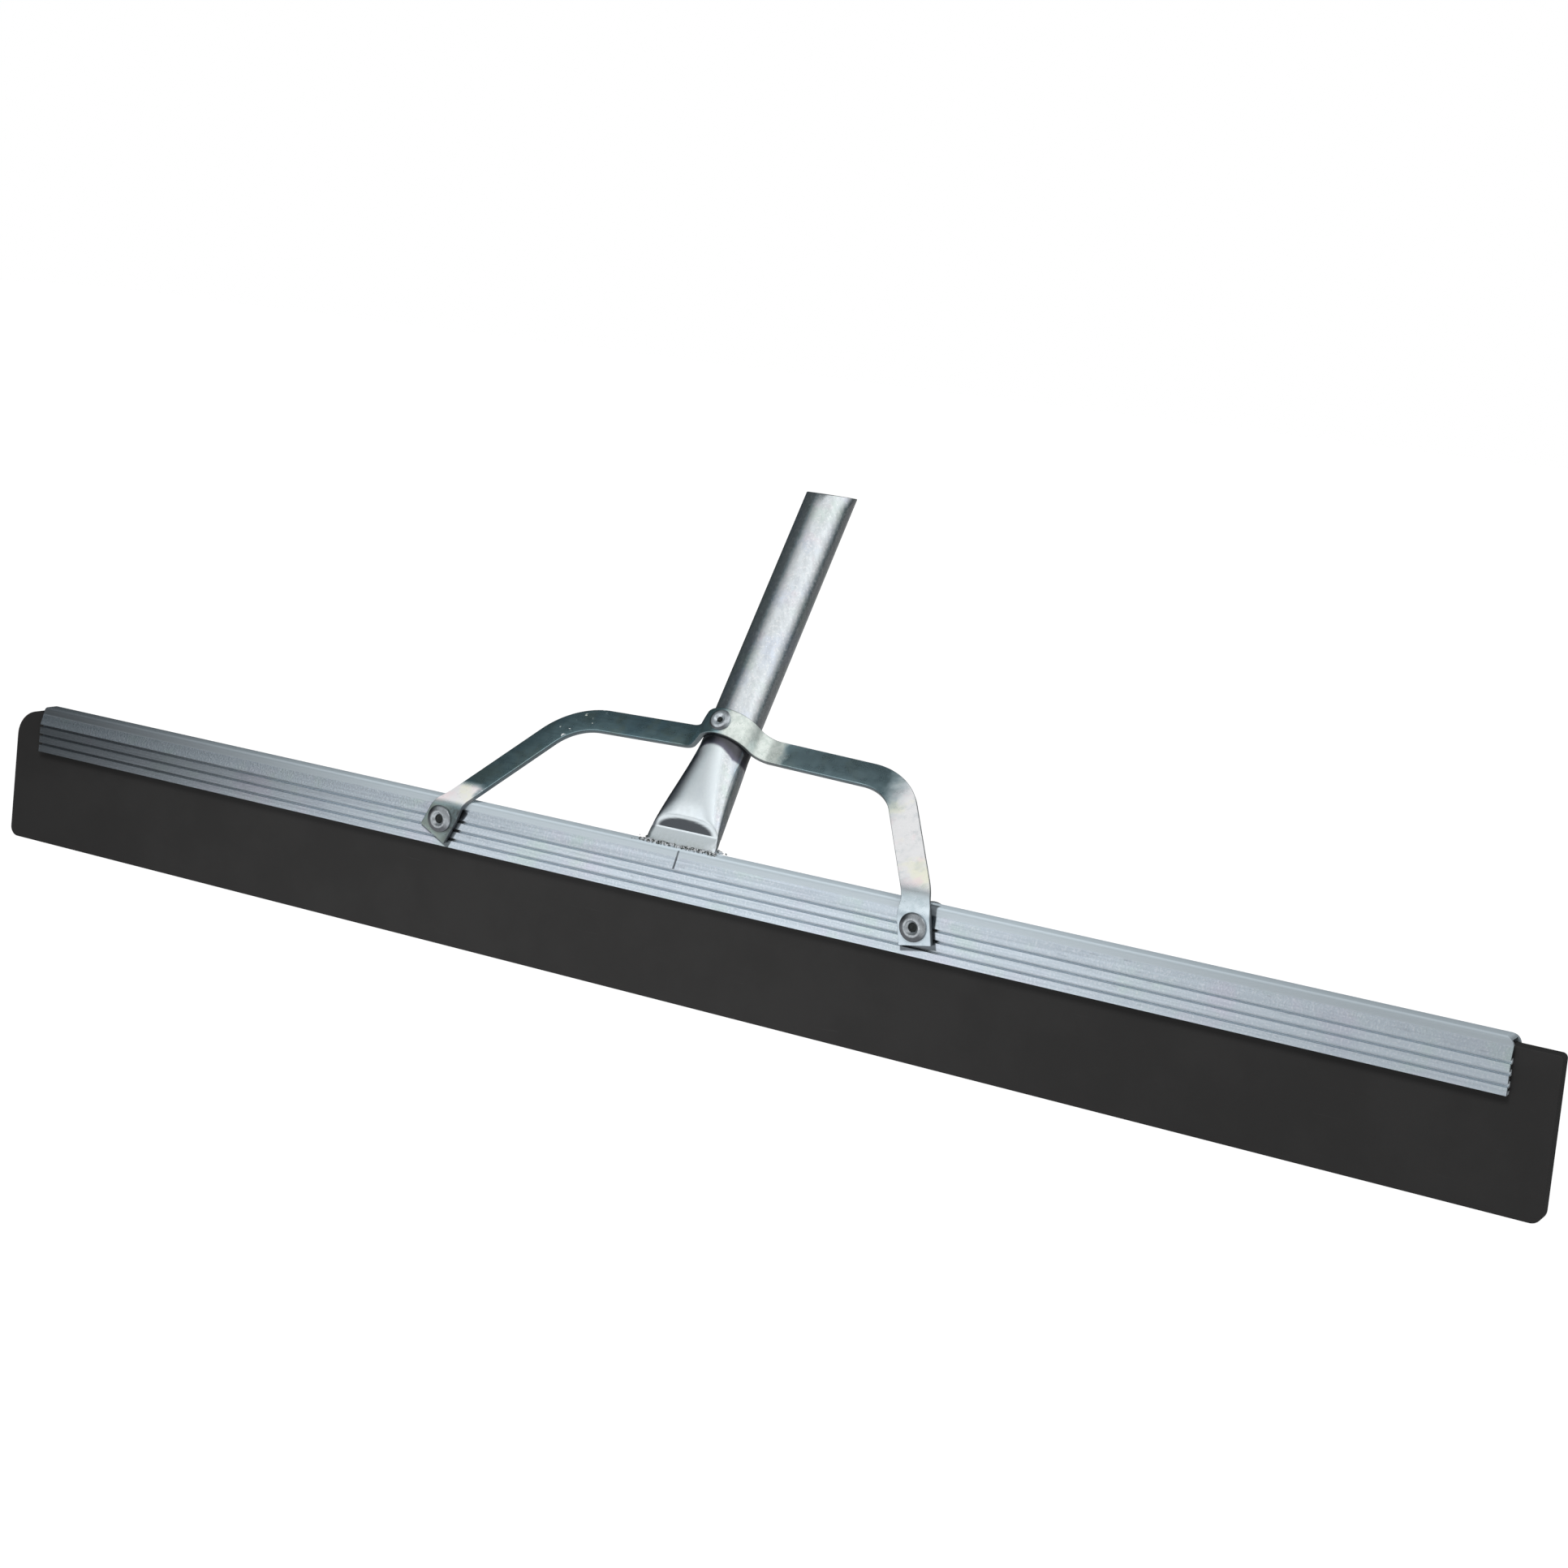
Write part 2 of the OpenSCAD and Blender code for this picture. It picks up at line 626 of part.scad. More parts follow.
// A fillet of weld on the crest, against the front or the rear of the tab
module weld_bead(side) {
    foot = (tab_half + seat_gap) / cos(socket_lean);
    lean = tan(socket_lean) * weld_leg;
    length = 2 * (tab_half_width + weld_run_out);
    color(weld_grey)
        translate([-length / 2, tab_y, crest_z + seat_gap])
            rotate([90, 0, 90])
                linear_extrude(length)
                    polygon(concat([[side * foot, 0], [side * foot + lean, weld_leg]],
                        [for (a = [75:-15:0])
                            [side * (foot + weld_leg * cos(a)) + lean * sin(a), weld_leg * sin(a)]]));
}

module weld_bead_front() {
    weld_bead(-1);
}

module weld_bead_rear() {
    weld_bead(1);
}

channel();
rubber_blade();
socket_tube();
brace_strap();
foot_rivet_left();
foot_rivet_right();
socket_rivet();
foot_rivet_pin_left();
foot_rivet_pin_right();
socket_rivet_pin();
backing_washer_left();
backing_washer_right();
weld_bead_front();
weld_bead_rear();
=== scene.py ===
import math

import bmesh
import bpy
from bpy.props import FloatProperty, FloatVectorProperty, IntProperty, PointerProperty
from mathutils import Matrix, Vector


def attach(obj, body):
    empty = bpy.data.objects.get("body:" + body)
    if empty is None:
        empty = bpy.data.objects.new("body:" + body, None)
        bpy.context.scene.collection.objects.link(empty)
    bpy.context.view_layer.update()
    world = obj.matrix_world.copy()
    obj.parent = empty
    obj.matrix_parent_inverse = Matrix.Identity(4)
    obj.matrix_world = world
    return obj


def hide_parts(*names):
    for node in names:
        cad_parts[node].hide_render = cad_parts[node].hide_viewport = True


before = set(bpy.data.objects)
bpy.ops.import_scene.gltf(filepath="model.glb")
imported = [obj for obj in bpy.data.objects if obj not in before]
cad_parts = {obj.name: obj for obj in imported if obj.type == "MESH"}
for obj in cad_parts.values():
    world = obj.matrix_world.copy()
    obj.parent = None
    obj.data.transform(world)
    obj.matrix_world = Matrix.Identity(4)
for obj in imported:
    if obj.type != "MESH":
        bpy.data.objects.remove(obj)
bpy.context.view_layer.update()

bl_info = {
    "name": "Floor Squeegee",
    "version": (1, 0, 0),
    "blender": (4, 5, 0),
    "location": "3D View > Sidebar > Squeegee",
    "description": "Builds the finished pieces of a floor squeegee head over its packed solids",
    "category": "Object",
}

MM = 0.001
BODY = "root"

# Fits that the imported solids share
BLADE_PLAY = 0.1 * MM
RIVET_CLEARANCE = 0.1 * MM
BLIND_STAND_OFF = 0.3 * MM
PIN_PLAY = 0.05 * MM


# Settings


def length_of(name, description, millimetres):
    """A length that is stored in metres."""
    return FloatProperty(
        name=name, description=description, default=millimetres * MM, min=0.0, precision=5, unit="LENGTH"
    )


def angle_of(name, description, degrees):
    """An angle given in degrees."""
    return FloatProperty(
        name=name, description=description, default=math.radians(degrees), subtype="ANGLE", unit="ROTATION"
    )


def share_of(name, description, value, top=1.0):
    """A plain number from 0 to a top."""
    return FloatProperty(
        name=name, description=description, default=value, min=0.0, max=top, subtype="FACTOR"
    )


def colour_of(name, description, value):
    """A colour as red, green and blue."""
    return FloatVectorProperty(
        name=name, description=description, default=value, min=0.0, max=1.0, size=3, subtype="COLOR"
    )


class BladeSizes(bpy.types.PropertyGroup):
    length: length_of("Length", "Length of the rubber", 750)
    thickness: length_of("Thickness", "Thickness of the rubber", 7)
    drop: length_of("Drop", "Height of rubber below the channel's lips", 44.4)
    crest_gap: length_of("Crest gap", "Free height above the rubber, inside the channel", 1.7)
    big_corner: length_of("Big corner", "Radius of the upper left corner", 13)
    small_corner: length_of("Small corner", "Radius of the upper right corner", 2)
    low_corner: length_of("Low corner", "Radius of the two lower corners", 4.5)
    edge: length_of("Edge rounding", "Rounding of the moulded edges", 0.45)


class ChannelSizes(bpy.types.PropertyGroup):
    length: length_of("Length", "Length of the channel", 715)
    sheet: length_of("Sheet", "Thickness of the sheet", 1.3)
    plain_band: length_of("Plain band", "Height of the band above the grooves", 8.6)
    groove_pitch: length_of("Groove pitch", "Distance from groove to groove", 4.3)
    groove_count: IntProperty(name="Grooves", description="Grooves in each wall", default=3, min=1, max=4)
    lip_band: length_of("Lip band", "Height of the lip below the last groove", 3.8)
    groove_mouth: length_of("Groove mouth", "Height of a groove where it opens", 1.3)
    groove_floor: length_of("Groove floor", "Height of a groove at its floor", 0.9)
    rib_spread: length_of("Rib spread", "How far the ribs stand out past the crest", 2)
    crest_radius: length_of("Crest radius", "Radius of the fold along the crest", 2)
    end_corner: length_of("End corner", "Radius cut from the crest at the right end", 4)
    edge: length_of("Edge rounding", "Rounding of the sheet's edges", 0.22)


class SocketSizes(bpy.types.PropertyGroup):
    diameter: length_of("Diameter", "Outside diameter of the tube", 22)
    wall: length_of("Wall", "Wall of the tube", 1.4)
    bore: length_of("Bore", "Bore that takes the handle", 19.6)
    reach: length_of("Reach", "Depth of that bore from the mouth", 111)
    length: length_of("Length", "Length of the tube above the crest's height", 175)
    mouth_slant: angle_of("Mouth slant", "Slant of the cut across the mouth", 27)
    lean: angle_of("Lean", "Lean of the tube towards the back", 33)
    set_back: length_of("Set back", "How far the axis stands behind the blade's middle", 5.5)
    flare_length: length_of("Flare length", "Length over which the tube is flattened", 44)
    tab_thickness: length_of("Tab thickness", "Thickness of the flattened end", 3)
    tab_height: length_of("Tab height", "Height of the flat part", 4.5)
    tab_back: length_of("Tab back", "How far the tab stands behind the blade's middle", 1)


class BraceSizes(bpy.types.PropertyGroup):
    width: length_of("Width", "Width of the flat bar", 12)
    thickness: length_of("Thickness", "Thickness of the flat bar", 2.2)
    edge: length_of("Edge rounding", "Rounding of the bar's long edges", 0.5)
    corner_half_span: length_of("Corner half span", "Half of the distance between the upper corners", 81)
    arm_reach: length_of("Arm reach", "Distance from the folds up to the arms", 60.2)
    arm_rise: length_of("Arm rise", "Rise of the arms towards the tube", 2)
    slope: angle_of("Slope", "Slope of the brace above the horizontal", 42.6)
    corner_radius: length_of("Corner radius", "Radius of the upper corners", 27)
    foot_half_span: length_of("Foot half span", "Half of the distance between the foot rivets", 117.2)
    foot_width: length_of("Foot width", "Width of the flattened feet", 14.8)
    foot_spread: length_of("Foot spread", "Length over which the bar widens into a foot", 9)
    left_splay: angle_of("Left splay", "Tilt of the left foot from upright", 27)
    right_splay: angle_of("Right splay", "Tilt of the right foot from upright", 10)
    foot_tail: length_of("Foot tail", "Length of a foot below its rivet", 7.3)
    ankle_radius: length_of("Ankle radius", "Radius of the edge bend above a foot", 40)
    ankle_height: length_of("Ankle height", "Height of that bend above the fold", 6)
    fold_radius: length_of("Fold radius", "Inner radius of the fold over the crest", 4)
    left_wrap: angle_of("Left wrap", "Angle of tube wrapped on the left", 52)
    right_wrap: angle_of("Right wrap", "Angle of tube wrapped on the right", 74)
    shoulder_radius: length_of("Shoulder radius", "Radius between the wrap and an arm", 9)
    wrap_station: length_of("Wrap station", "Place of the wrap along the tube", 53.5)
    crest_clearance: length_of("Crest clearance", "Gap between the bar and the crest's fold", 0.2)


class RivetSizes(bpy.types.PropertyGroup):
    foot_body: length_of("Foot body", "Body diameter of the foot rivets", 6.4)
    foot_flange: length_of("Foot flange", "Flange diameter of the foot rivets", 12)
    foot_height: length_of("Foot flange height", "Height of the foot rivets' flanges", 1.9)
    foot_pin: length_of("Foot pin", "Diameter of the foot rivets' pins", 4)
    foot_recess: length_of("Foot recess", "Depth of the pins below the flanges", 1.6)
    foot_blind: length_of("Foot blind end", "Length of the swollen ends behind the channel", 5)
    socket_body: length_of("Socket body", "Body diameter of the socket rivet", 4.8)
    socket_flange: length_of("Socket flange", "Flange diameter of the socket rivet", 9.5)
    socket_height: length_of("Socket flange height", "Height of the socket rivet's flange", 1.5)
    socket_pin: length_of("Socket pin", "Diameter of the socket rivet's pin", 2.7)
    socket_recess: length_of("Socket recess", "Depth of that pin below the flange", 1.2)
    socket_blind: length_of("Socket blind end", "Length of the swollen end inside the tube", 3.6)
    washer: length_of("Washer", "Diameter of the washers behind the channel", 16)
    washer_thickness: length_of("Washer thickness", "Thickness of the washers", 1.2)
    seat_gap: length_of("Seat gap", "Gap between pieces that rest on each other", 0.05)


class WeldSizes(bpy.types.PropertyGroup):
    leg: length_of("Leg", "Height of the beads", 2.6)
    run_out: length_of("Run out", "How far the beads run past the tab", 2.5)
    lump: length_of("Lumps", "Unevenness of the beads", 1.1)
    grain: length_of("Spatter", "Radius of the largest drops of spatter", 0.42)
    grains: IntProperty(
        name="Drops", description="Drops of spatter beside each bead", default=46, min=0, max=400
    )
    seed: IntProperty(name="Seed", description="Seed of the spatter", default=7, min=0)


class FinishColours(bpy.types.PropertyGroup):
    channel: colour_of("Channel", "Zinc of the channel", (0.58, 0.66, 0.735))
    tube: colour_of("Tube", "Zinc of the socket tube", (0.74, 0.79, 0.82))
    strap: colour_of("Strap", "Zinc of the flat bar", (0.45, 0.66, 0.72))
    whitening: colour_of("Whitening", "Pale bloom on the flat bar", (0.80, 0.80, 0.81))
    rivet: colour_of("Rivets", "Steel of the rivets", (0.46, 0.50, 0.53))
    pin: colour_of("Pins", "Steel of the rivets' pins", (0.022, 0.026, 0.026))
    weld: colour_of("Weld", "Weld metal", (0.42, 0.44, 0.46))
    rubber: colour_of("Rubber", "Rubber of the blade", (0.0284, 0.0279, 0.0278))
    floor: colour_of("Floor", "Floor and backdrop", (0.86, 0.87, 0.88))


class StageSizes(bpy.types.PropertyGroup):
    lens: FloatProperty(
        name="Lens", description="Focal length", default=66.15, min=10.0, subtype="DISTANCE_CAMERA"
    )
    shift: FloatProperty(
        name="Shift", description="Upward shift of the view", default=-0.1377, min=-1.0, max=1.0
    )
    floor_half: length_of("Floor half width", "Half of the floor's width", 6000)
    key_power: FloatProperty(
        name="Key power", description="Power of the key lamp", default=13.0, min=0.0, unit="POWER"
    )
    sky: share_of("Sky", "Strength of the brightest part of the sky", 1.13, 4.0)
    dusk: share_of("Dusk", "Strength of the dark part of the sky", 0.03, 4.0)
    pool: share_of("Pool", "Strength of the lit pool that the metal sees in the floor", 1.67, 4.0)


class SqueegeeSettings(bpy.types.PropertyGroup):
    blade: PointerProperty(type=BladeSizes)
    channel: PointerProperty(type=ChannelSizes)
    socket: PointerProperty(type=SocketSizes)
    brace: PointerProperty(type=BraceSizes)
    rivets: PointerProperty(type=RivetSizes)
    welds: PointerProperty(type=WeldSizes)
    colours: PointerProperty(type=FinishColours)
    stage: PointerProperty(type=StageSizes)


# Sizes that follow from the settings


def mix(a, b, share):
    """The value a share of the way from a to b."""
    return a + (b - a) * share


def smooth(share):
    """A share that starts and ends gently."""
    return share * share * (3 - 2 * share)


def clamp(value):
    """The value kept between 0 and 1."""
    return max(0.0, min(1.0, value))


def between(start, end, steps):
    """Values in equal steps from after the start up to the end."""
    return [mix(start, end, k / steps) for k in range(1, steps + 1)]


def quarter(steps):
    """Angles of a quarter turn in equal steps."""
    return [math.pi / 2 * k / steps for k in range(steps + 1)]


class Layout:
    """Places and directions that several pieces share, worked out from the settings."""

    def __init__(self, settings):
        blade, channel, socket, brace = settings.blade, settings.channel, settings.socket, settings.brace
        self.gap = settings.rivets.seat_gap
        self.blade_half = blade.thickness / 2
        ribs = (channel.groove_count - 1) * channel.groove_pitch
        height = channel.plain_band + ribs + channel.lip_band
        self.crest_z = blade.drop + height
        self.blade_top = self.crest_z - channel.sheet - blade.crest_gap
        self.crest_half = self.blade_half + BLADE_PLAY + channel.sheet
        self.rib_half = self.crest_half + channel.rib_spread
        self.groove_half = self.blade_half + channel.sheet
        self.first_groove_z = self.crest_z - channel.plain_band

        self.socket_r = socket.diameter / 2
        self.tube_rise = math.pi / 2 - socket.lean
        self.tube_dir = self.along(self.tube_rise)
        self.tube_front = self.across(self.tube_rise)
        self.tube_foot = Vector((0, socket.set_back, self.crest_z))
        self.girth = math.log(2) / math.log(math.pi / 2)
        self.tab_half = socket.tab_thickness / 2
        wide = 2 * self.socket_r**self.girth - self.tab_half**self.girth
        self.tab_half_width = wide ** (1 / self.girth)
        self.tab_shift = (socket.set_back - socket.tab_back) * math.cos(socket.lean)

        self.foot_mid_y = -(self.rib_half + self.gap + brace.thickness / 2)
        self.slope_dir = self.along(brace.slope)
        self.slope_normal = self.across(brace.slope)
        radius = channel.crest_radius
        crest_corner = Vector((0, radius - self.crest_half, self.crest_z - radius))
        offset = crest_corner.dot(self.slope_normal) + radius + brace.crest_clearance
        offset += brace.thickness / 2
        self.fold_z = (offset - self.foot_mid_y * self.slope_normal.y) / self.slope_normal.z
        self.fold_point = Vector((0, self.foot_mid_y, self.fold_z))
        self.fold_turn = math.pi / 2 - brace.slope
        self.fold_mid_radius = brace.fold_radius + brace.thickness / 2
        self.fold_tangent = self.fold_mid_radius * math.tan(self.fold_turn / 2)
        self.foot_rivet_z = self.first_groove_z
        self.foot_seat_y = self.foot_mid_y - brace.thickness / 2
        self.washer_face_y = self.rib_half + self.gap
        self.foot_grip = self.washer_face_y + settings.rivets.washer_thickness + self.gap - self.foot_seat_y
        self.wrap_mid_radius = self.socket_r + self.gap + brace.thickness / 2
        self.socket_seat = self.wrap_mid_radius + brace.thickness / 2
        self.socket_grip = self.socket_seat - (self.socket_r - socket.wall) + BLIND_STAND_OFF

    @staticmethod
    def along(angle):
        """The direction at an angle above the floor, in the plane across the blade."""
        return Vector((0, math.cos(angle), math.sin(angle)))

    @staticmethod
    def across(angle):
        """The direction a quarter turn on from that one."""
        return Vector((0, -math.sin(angle), math.cos(angle)))

    def on_tube(self, station, forward=0.0, x=0.0):
        """A point at a station along the tube's axis, forward of it and to the right."""
        return self.tube_foot + self.tube_dir * station + self.tube_front * forward + Vector((x, 0, 0))


def plan(context):
    """The scene's settings, and the layout that follows from them."""
    settings = context.scene.squeegee
    return settings, Layout(settings)


# Meshes


def add_piece(name, mesh, material):
    """An object for a mesh, in the scene and with its one material."""
    piece = bpy.data.objects.new(name, mesh)
    bpy.context.scene.collection.objects.link(piece)
    mesh.materials.clear()
    mesh.materials.append(material)
    return piece


def closed_mesh(name, points, faces, sharp=35, **marks):
    """A mesh without doubles, its faces outward, smooth except at edges sharper than the angle given.

    Each mark is a list of one value for each point, kept under its own name.
    """
    mesh = bpy.data.meshes.new(name)
    mesh.from_pydata([tuple(p) for p in points], [], faces)
    for label, values in marks.items():
        mesh.attributes.new(label, "FLOAT", "POINT").data.foreach_set("value", values)
    work = bmesh.new()
    work.from_mesh(mesh)
    bmesh.ops.remove_doubles(work, verts=work.verts, dist=1e-6)
    bmesh.ops.recalc_face_normals(work, faces=work.faces)
    work.to_mesh(mesh)
    work.free()
    mesh.shade_smooth()
    mesh.set_sharp_from_angle(angle=math.radians(sharp))
    return mesh


def loft(rings):
    """Points and faces of a closed skin over rings that all have the same number of points."""
    count = len(rings[0])
    points = [p for ring in rings for p in ring]
    faces = []
    for i in range(len(rings) - 1):
        for j in range(count):
            a, b = i * count + j, i * count + (j + 1) % count
            faces.append((a, b, b + count, a + count))
    faces.append(tuple(range(count - 1, -1, -1)))
    faces.append(tuple(range((len(rings) - 1) * count, len(rings) * count)))
    return points, faces


def lathe(outline, segments=72):
    """Points and faces of an outline of radius and height, turned about Z."""
    points, faces = [], []
    count = len(outline)
    for k in range(segments):
        turn = 2 * math.pi * k / segments
        points += [Vector((r * math.cos(turn), r * math.sin(turn), z)) for r, z in outline]
    for k in range(segments):
        near, far = k * count, (k + 1) % segments * count
        for j in range(count):
            faces.append((near + j, far + j, far + (j + 1) % count, near + (j + 1) % count))
    return points, faces


def soften(piece, width, segments, angle):
    """Rounds the edges that are sharper than an angle."""
    bevel = piece.modifiers.new("Soft edges", "BEVEL")
    bevel.width = width
    bevel.segments = segments
    bevel.limit_method = "ANGLE"
    bevel.angle_limit = math.radians(angle)
    bevel.harden_normals = True


# Node trees


class Wiring:
    """Short calls for adding and joining nodes in one tree."""

    def __init__(self, tree):
        self.tree = tree

    def add(self, kind, values=None, **settings):
        node = self.tree.nodes.new(kind)
        for name, value in settings.items():
            setattr(node, name, value)
        for key, value in (values or {}).items():
            if isinstance(value, bpy.types.NodeSocket):
                self.tree.links.new(value, node.inputs[key])
            else:
                node.inputs[key].default_value = value
        return node

    def join(self, out, into):
        self.tree.links.new(out, into)

    def maths(self, operation, a, b=0.0, c=0.0, limit=False):
        values = {0: a, 1: b, 2: c}
        return self.add("ShaderNodeMath", values, operation=operation, use_clamp=limit).outputs[0]

    def plus(self, a, b):
        return self.maths("ADD", a, b)

    def minus(self, a, b):
        return self.maths("SUBTRACT", a, b)

    def times(self, a, b):
        return self.maths("MULTIPLY", a, b)

    def larger(self, a, b):
        return self.maths("MAXIMUM", a, b)

    def smaller(self, a, b):
        return self.maths("MINIMUM", a, b)

    def dot(self, place, way):
        """How far a place lies along a direction."""
        values = {0: place, 1: tuple(way)}
        return self.add("ShaderNodeVectorMath", values, operation="DOT_PRODUCT").outputs["Value"]

    def scaled(self, vector, size):
        """A vector times a size."""
        values = {0: vector, "Scale": size}
        return self.add("ShaderNodeVectorMath", values, operation="SCALE").outputs[0]

    def span(self, value, low, high, to_low=0.0, to_high=1.0, soft=True):
        """The value's place between two limits, from 0 to 1 unless other ends are given."""
        kind = "SMOOTHSTEP" if soft else "LINEAR"
        values = {0: value, 1: low, 2: high, 3: to_low, 4: to_high}
        return self.add("ShaderNodeMapRange", values, interpolation_type=kind).outputs[0]

    def inside(self, value, low, high, edge):
        """1 between the two limits and 0 outside them, with soft edges."""
        rise = self.span(value, low - edge, low + edge)
        fall = self.span(value, high - edge, high + edge, 1.0, 0.0)
        return self.times(rise, fall)

    def blend(self, share, a, b):
        """The colour a share of the way from a to b."""
        node = self.add("ShaderNodeMix", data_type="RGBA", clamp_factor=True)
        for key, value in ((0, share), (6, a), (7, b)):
            if isinstance(value, bpy.types.NodeSocket):
                self.join(value, node.inputs[key])
            else:
                node.inputs[key].default_value = value
        return node.outputs[2]

    def flecked(self, colour, pattern, low, high, share, tint):
        """The colour, with up to a share of a tint where a pattern passes from low to high."""
        return self.blend(self.span(pattern, low, high, 0.0, share), colour, tint)

    def mixed(self, share, a, b):
        """The shader a share of the way from a to b."""
        return self.add("ShaderNodeMixShader", {0: share, 1: a, 2: b}).outputs[0]

    def moved(self, geometry, offset):
        """A geometry with its points moved by an offset."""
        values = {"Geometry": geometry, "Offset": offset}
        return self.add("GeometryNodeSetPosition", values).outputs[0]

    def together(self, *parts):
        """One geometry of several."""
        joined = self.add("GeometryNodeJoinGeometry")
        for part in parts:
            self.join(part, joined.inputs[0])
        return joined.outputs[0]

    def noise(self, place, scale, detail=2.0, rough=0.5, **values):
        found = {"Vector": place, "Scale": scale, "Detail": detail, "Roughness": rough, **values}
        return self.add("ShaderNodeTexNoise", found).outputs[0]


class GrowingTree:
    """A Geometry Nodes tree with named inputs, run once on a base mesh and turned into a plain mesh."""

    def __init__(self, name, sizes):
        self.tree = bpy.data.node_groups.new(name, "GeometryNodeTree")
        self.sockets = {}
        self.new_socket("Geometry", "Geometry")
        for label, (kind, default) in sizes.items():
            made = self.new_socket(label, kind)
            if default is not None:
                made.default_value = default
            self.sockets[label] = made.identifier
        self.new_socket("Geometry", "Geometry", "OUTPUT")
        self.wiring = Wiring(self.tree)
        self.given = self.tree.nodes.new("NodeGroupInput")
        self.result = self.tree.nodes.new("NodeGroupOutput")

    def new_socket(self, label, kind, side="INPUT"):
        return self.tree.interface.new_socket(name=label, in_out=side, socket_type="NodeSocket" + kind)

    def size(self, label):
        """The tree's own socket for a named size."""
        return self.given.outputs[label]

    def finish(self, geometry):
        """Ends the tree in Realize Instances and Set Material."""
        real = self.wiring.add("GeometryNodeRealizeInstances", {0: geometry})
        coated = self.wiring.add("GeometryNodeSetMaterial", {"Geometry": real.outputs[0]})
        self.wiring.join(self.size("Material"), coated.inputs["Material"])
        self.wiring.join(coated.outputs[0], self.result.inputs[0])

    def grow(self, name, base, values, sharp=35):
        """Runs the tree on a base mesh and returns the finished piece."""
        seed = bpy.data.objects.new(name + "_base", base)
        bpy.context.scene.collection.objects.link(seed)
        modifier = seed.modifiers.new("Grow", "NODES")
        modifier.node_group = self.tree
        for label, value in values.items():
            modifier[self.sockets[label]] = value
        evaluated = seed.evaluated_get(bpy.context.evaluated_depsgraph_get())
        mesh = bpy.data.meshes.new_from_object(evaluated)
        mesh.name = name
        seed.modifiers.remove(modifier)
        bpy.data.objects.remove(seed)
        mesh.shade_smooth()
        mesh.set_sharp_from_angle(angle=math.radians(sharp))
        return add_piece(name, mesh, values["Material"])


def rolled_section_tree():
    """A flat section drawn out along X, with one corner cut away by another shape."""
    tree = GrowingTree(
        "Rolled section",
        {"Length": ("Float", 0.7), "Corner cutter": ("Object", None), "Material": ("Material", None)},
    )
    wiring = tree.wiring
    section = tree.given.outputs[0]
    drawn = wiring.add(
        "GeometryNodeExtrudeMesh",
        {"Mesh": section, "Offset": (1, 0, 0), "Offset Scale": tree.size("Length"), "Individual": False},
    )
    back = wiring.add("GeometryNodeFlipFaces", {"Mesh": section})
    both = wiring.together(drawn.outputs[0], back.outputs[0])
    merged = wiring.add("GeometryNodeMergeByDistance", {"Geometry": both, "Distance": 1e-6})
    cutter = wiring.add("GeometryNodeObjectInfo", {"Object": tree.size("Corner cutter")})
    cut = wiring.add(
        "GeometryNodeMeshBoolean",
        {"Mesh 1": merged.outputs[0], "Mesh 2": cutter.outputs["Geometry"]},
        operation="DIFFERENCE",
        solver="EXACT",
    )
    tree.finish(cut.outputs[0])
    return tree


def fastener_row_tree():
    """One fastener set on each seat of a straight row."""
    tree = GrowingTree(
        "Fastener row",
        {
            "Fastener": ("Object", None),
            "Seats": ("Int", 2),
            "First seat": ("Vector", (0, 0, 0)),
            "Step": ("Vector", (1, 0, 0)),
            "Turn": ("Float", 0.0),
            "Material": ("Material", None),
        },
    )
    wiring = tree.wiring
    first, step = tree.size("First seat"), tree.size("Step")
    row = {"Count": tree.size("Seats"), "Start Location": first, "Offset": step}
    seats = wiring.add("GeometryNodeMeshLine", row, mode="OFFSET")
    fastener = wiring.add("GeometryNodeObjectInfo", {"Object": tree.size("Fastener"), "As Instance": True})
    turn = wiring.add("ShaderNodeCombineXYZ", {"X": tree.size("Turn")})
    rotation = wiring.add("FunctionNodeEulerToRotation", {0: turn.outputs[0]})
    fastener, rotation = fastener.outputs["Geometry"], rotation.outputs[0]
    pose = {"Points": seats.outputs[0], "Instance": fastener, "Rotation": rotation}
    tree.finish(wiring.add("GeometryNodeInstanceOnPoints", pose).outputs[0])
    return tree


BEAD_POINTS = 170
BEAD_SIDES = 14


def weld_bead_tree():
    """An uneven bead along a line, with drops of spatter beside it."""
    tree = GrowingTree(
        "Weld bead",
        {
            "Start": ("Vector", (-0.02, 0, 0)),
            "End": ("Vector", (0.02, 0, 0)),
            "Bead radius": ("Float", 0.0012),
            "Lumps": ("Float", 0.001),
            "Spatter low": ("Vector", (0, 0, 0)),
            "Spatter high": ("Vector", (0, 0, 0)),
            "Drops": ("Int", 40),
            "Drop radius": ("Float", 0.0004),
            "Seed": ("Int", 0),
            "Material": ("Material", None),
        },
    )
    wiring = tree.wiring
    ends = {"Start": tree.size("Start"), "End": tree.size("End")}
    line = wiring.add("GeometryNodeCurvePrimitiveLine", ends).outputs[0]
    tree.finish(wiring.together(uneven_bead(tree, line), spatter(tree, line)))
    return tree


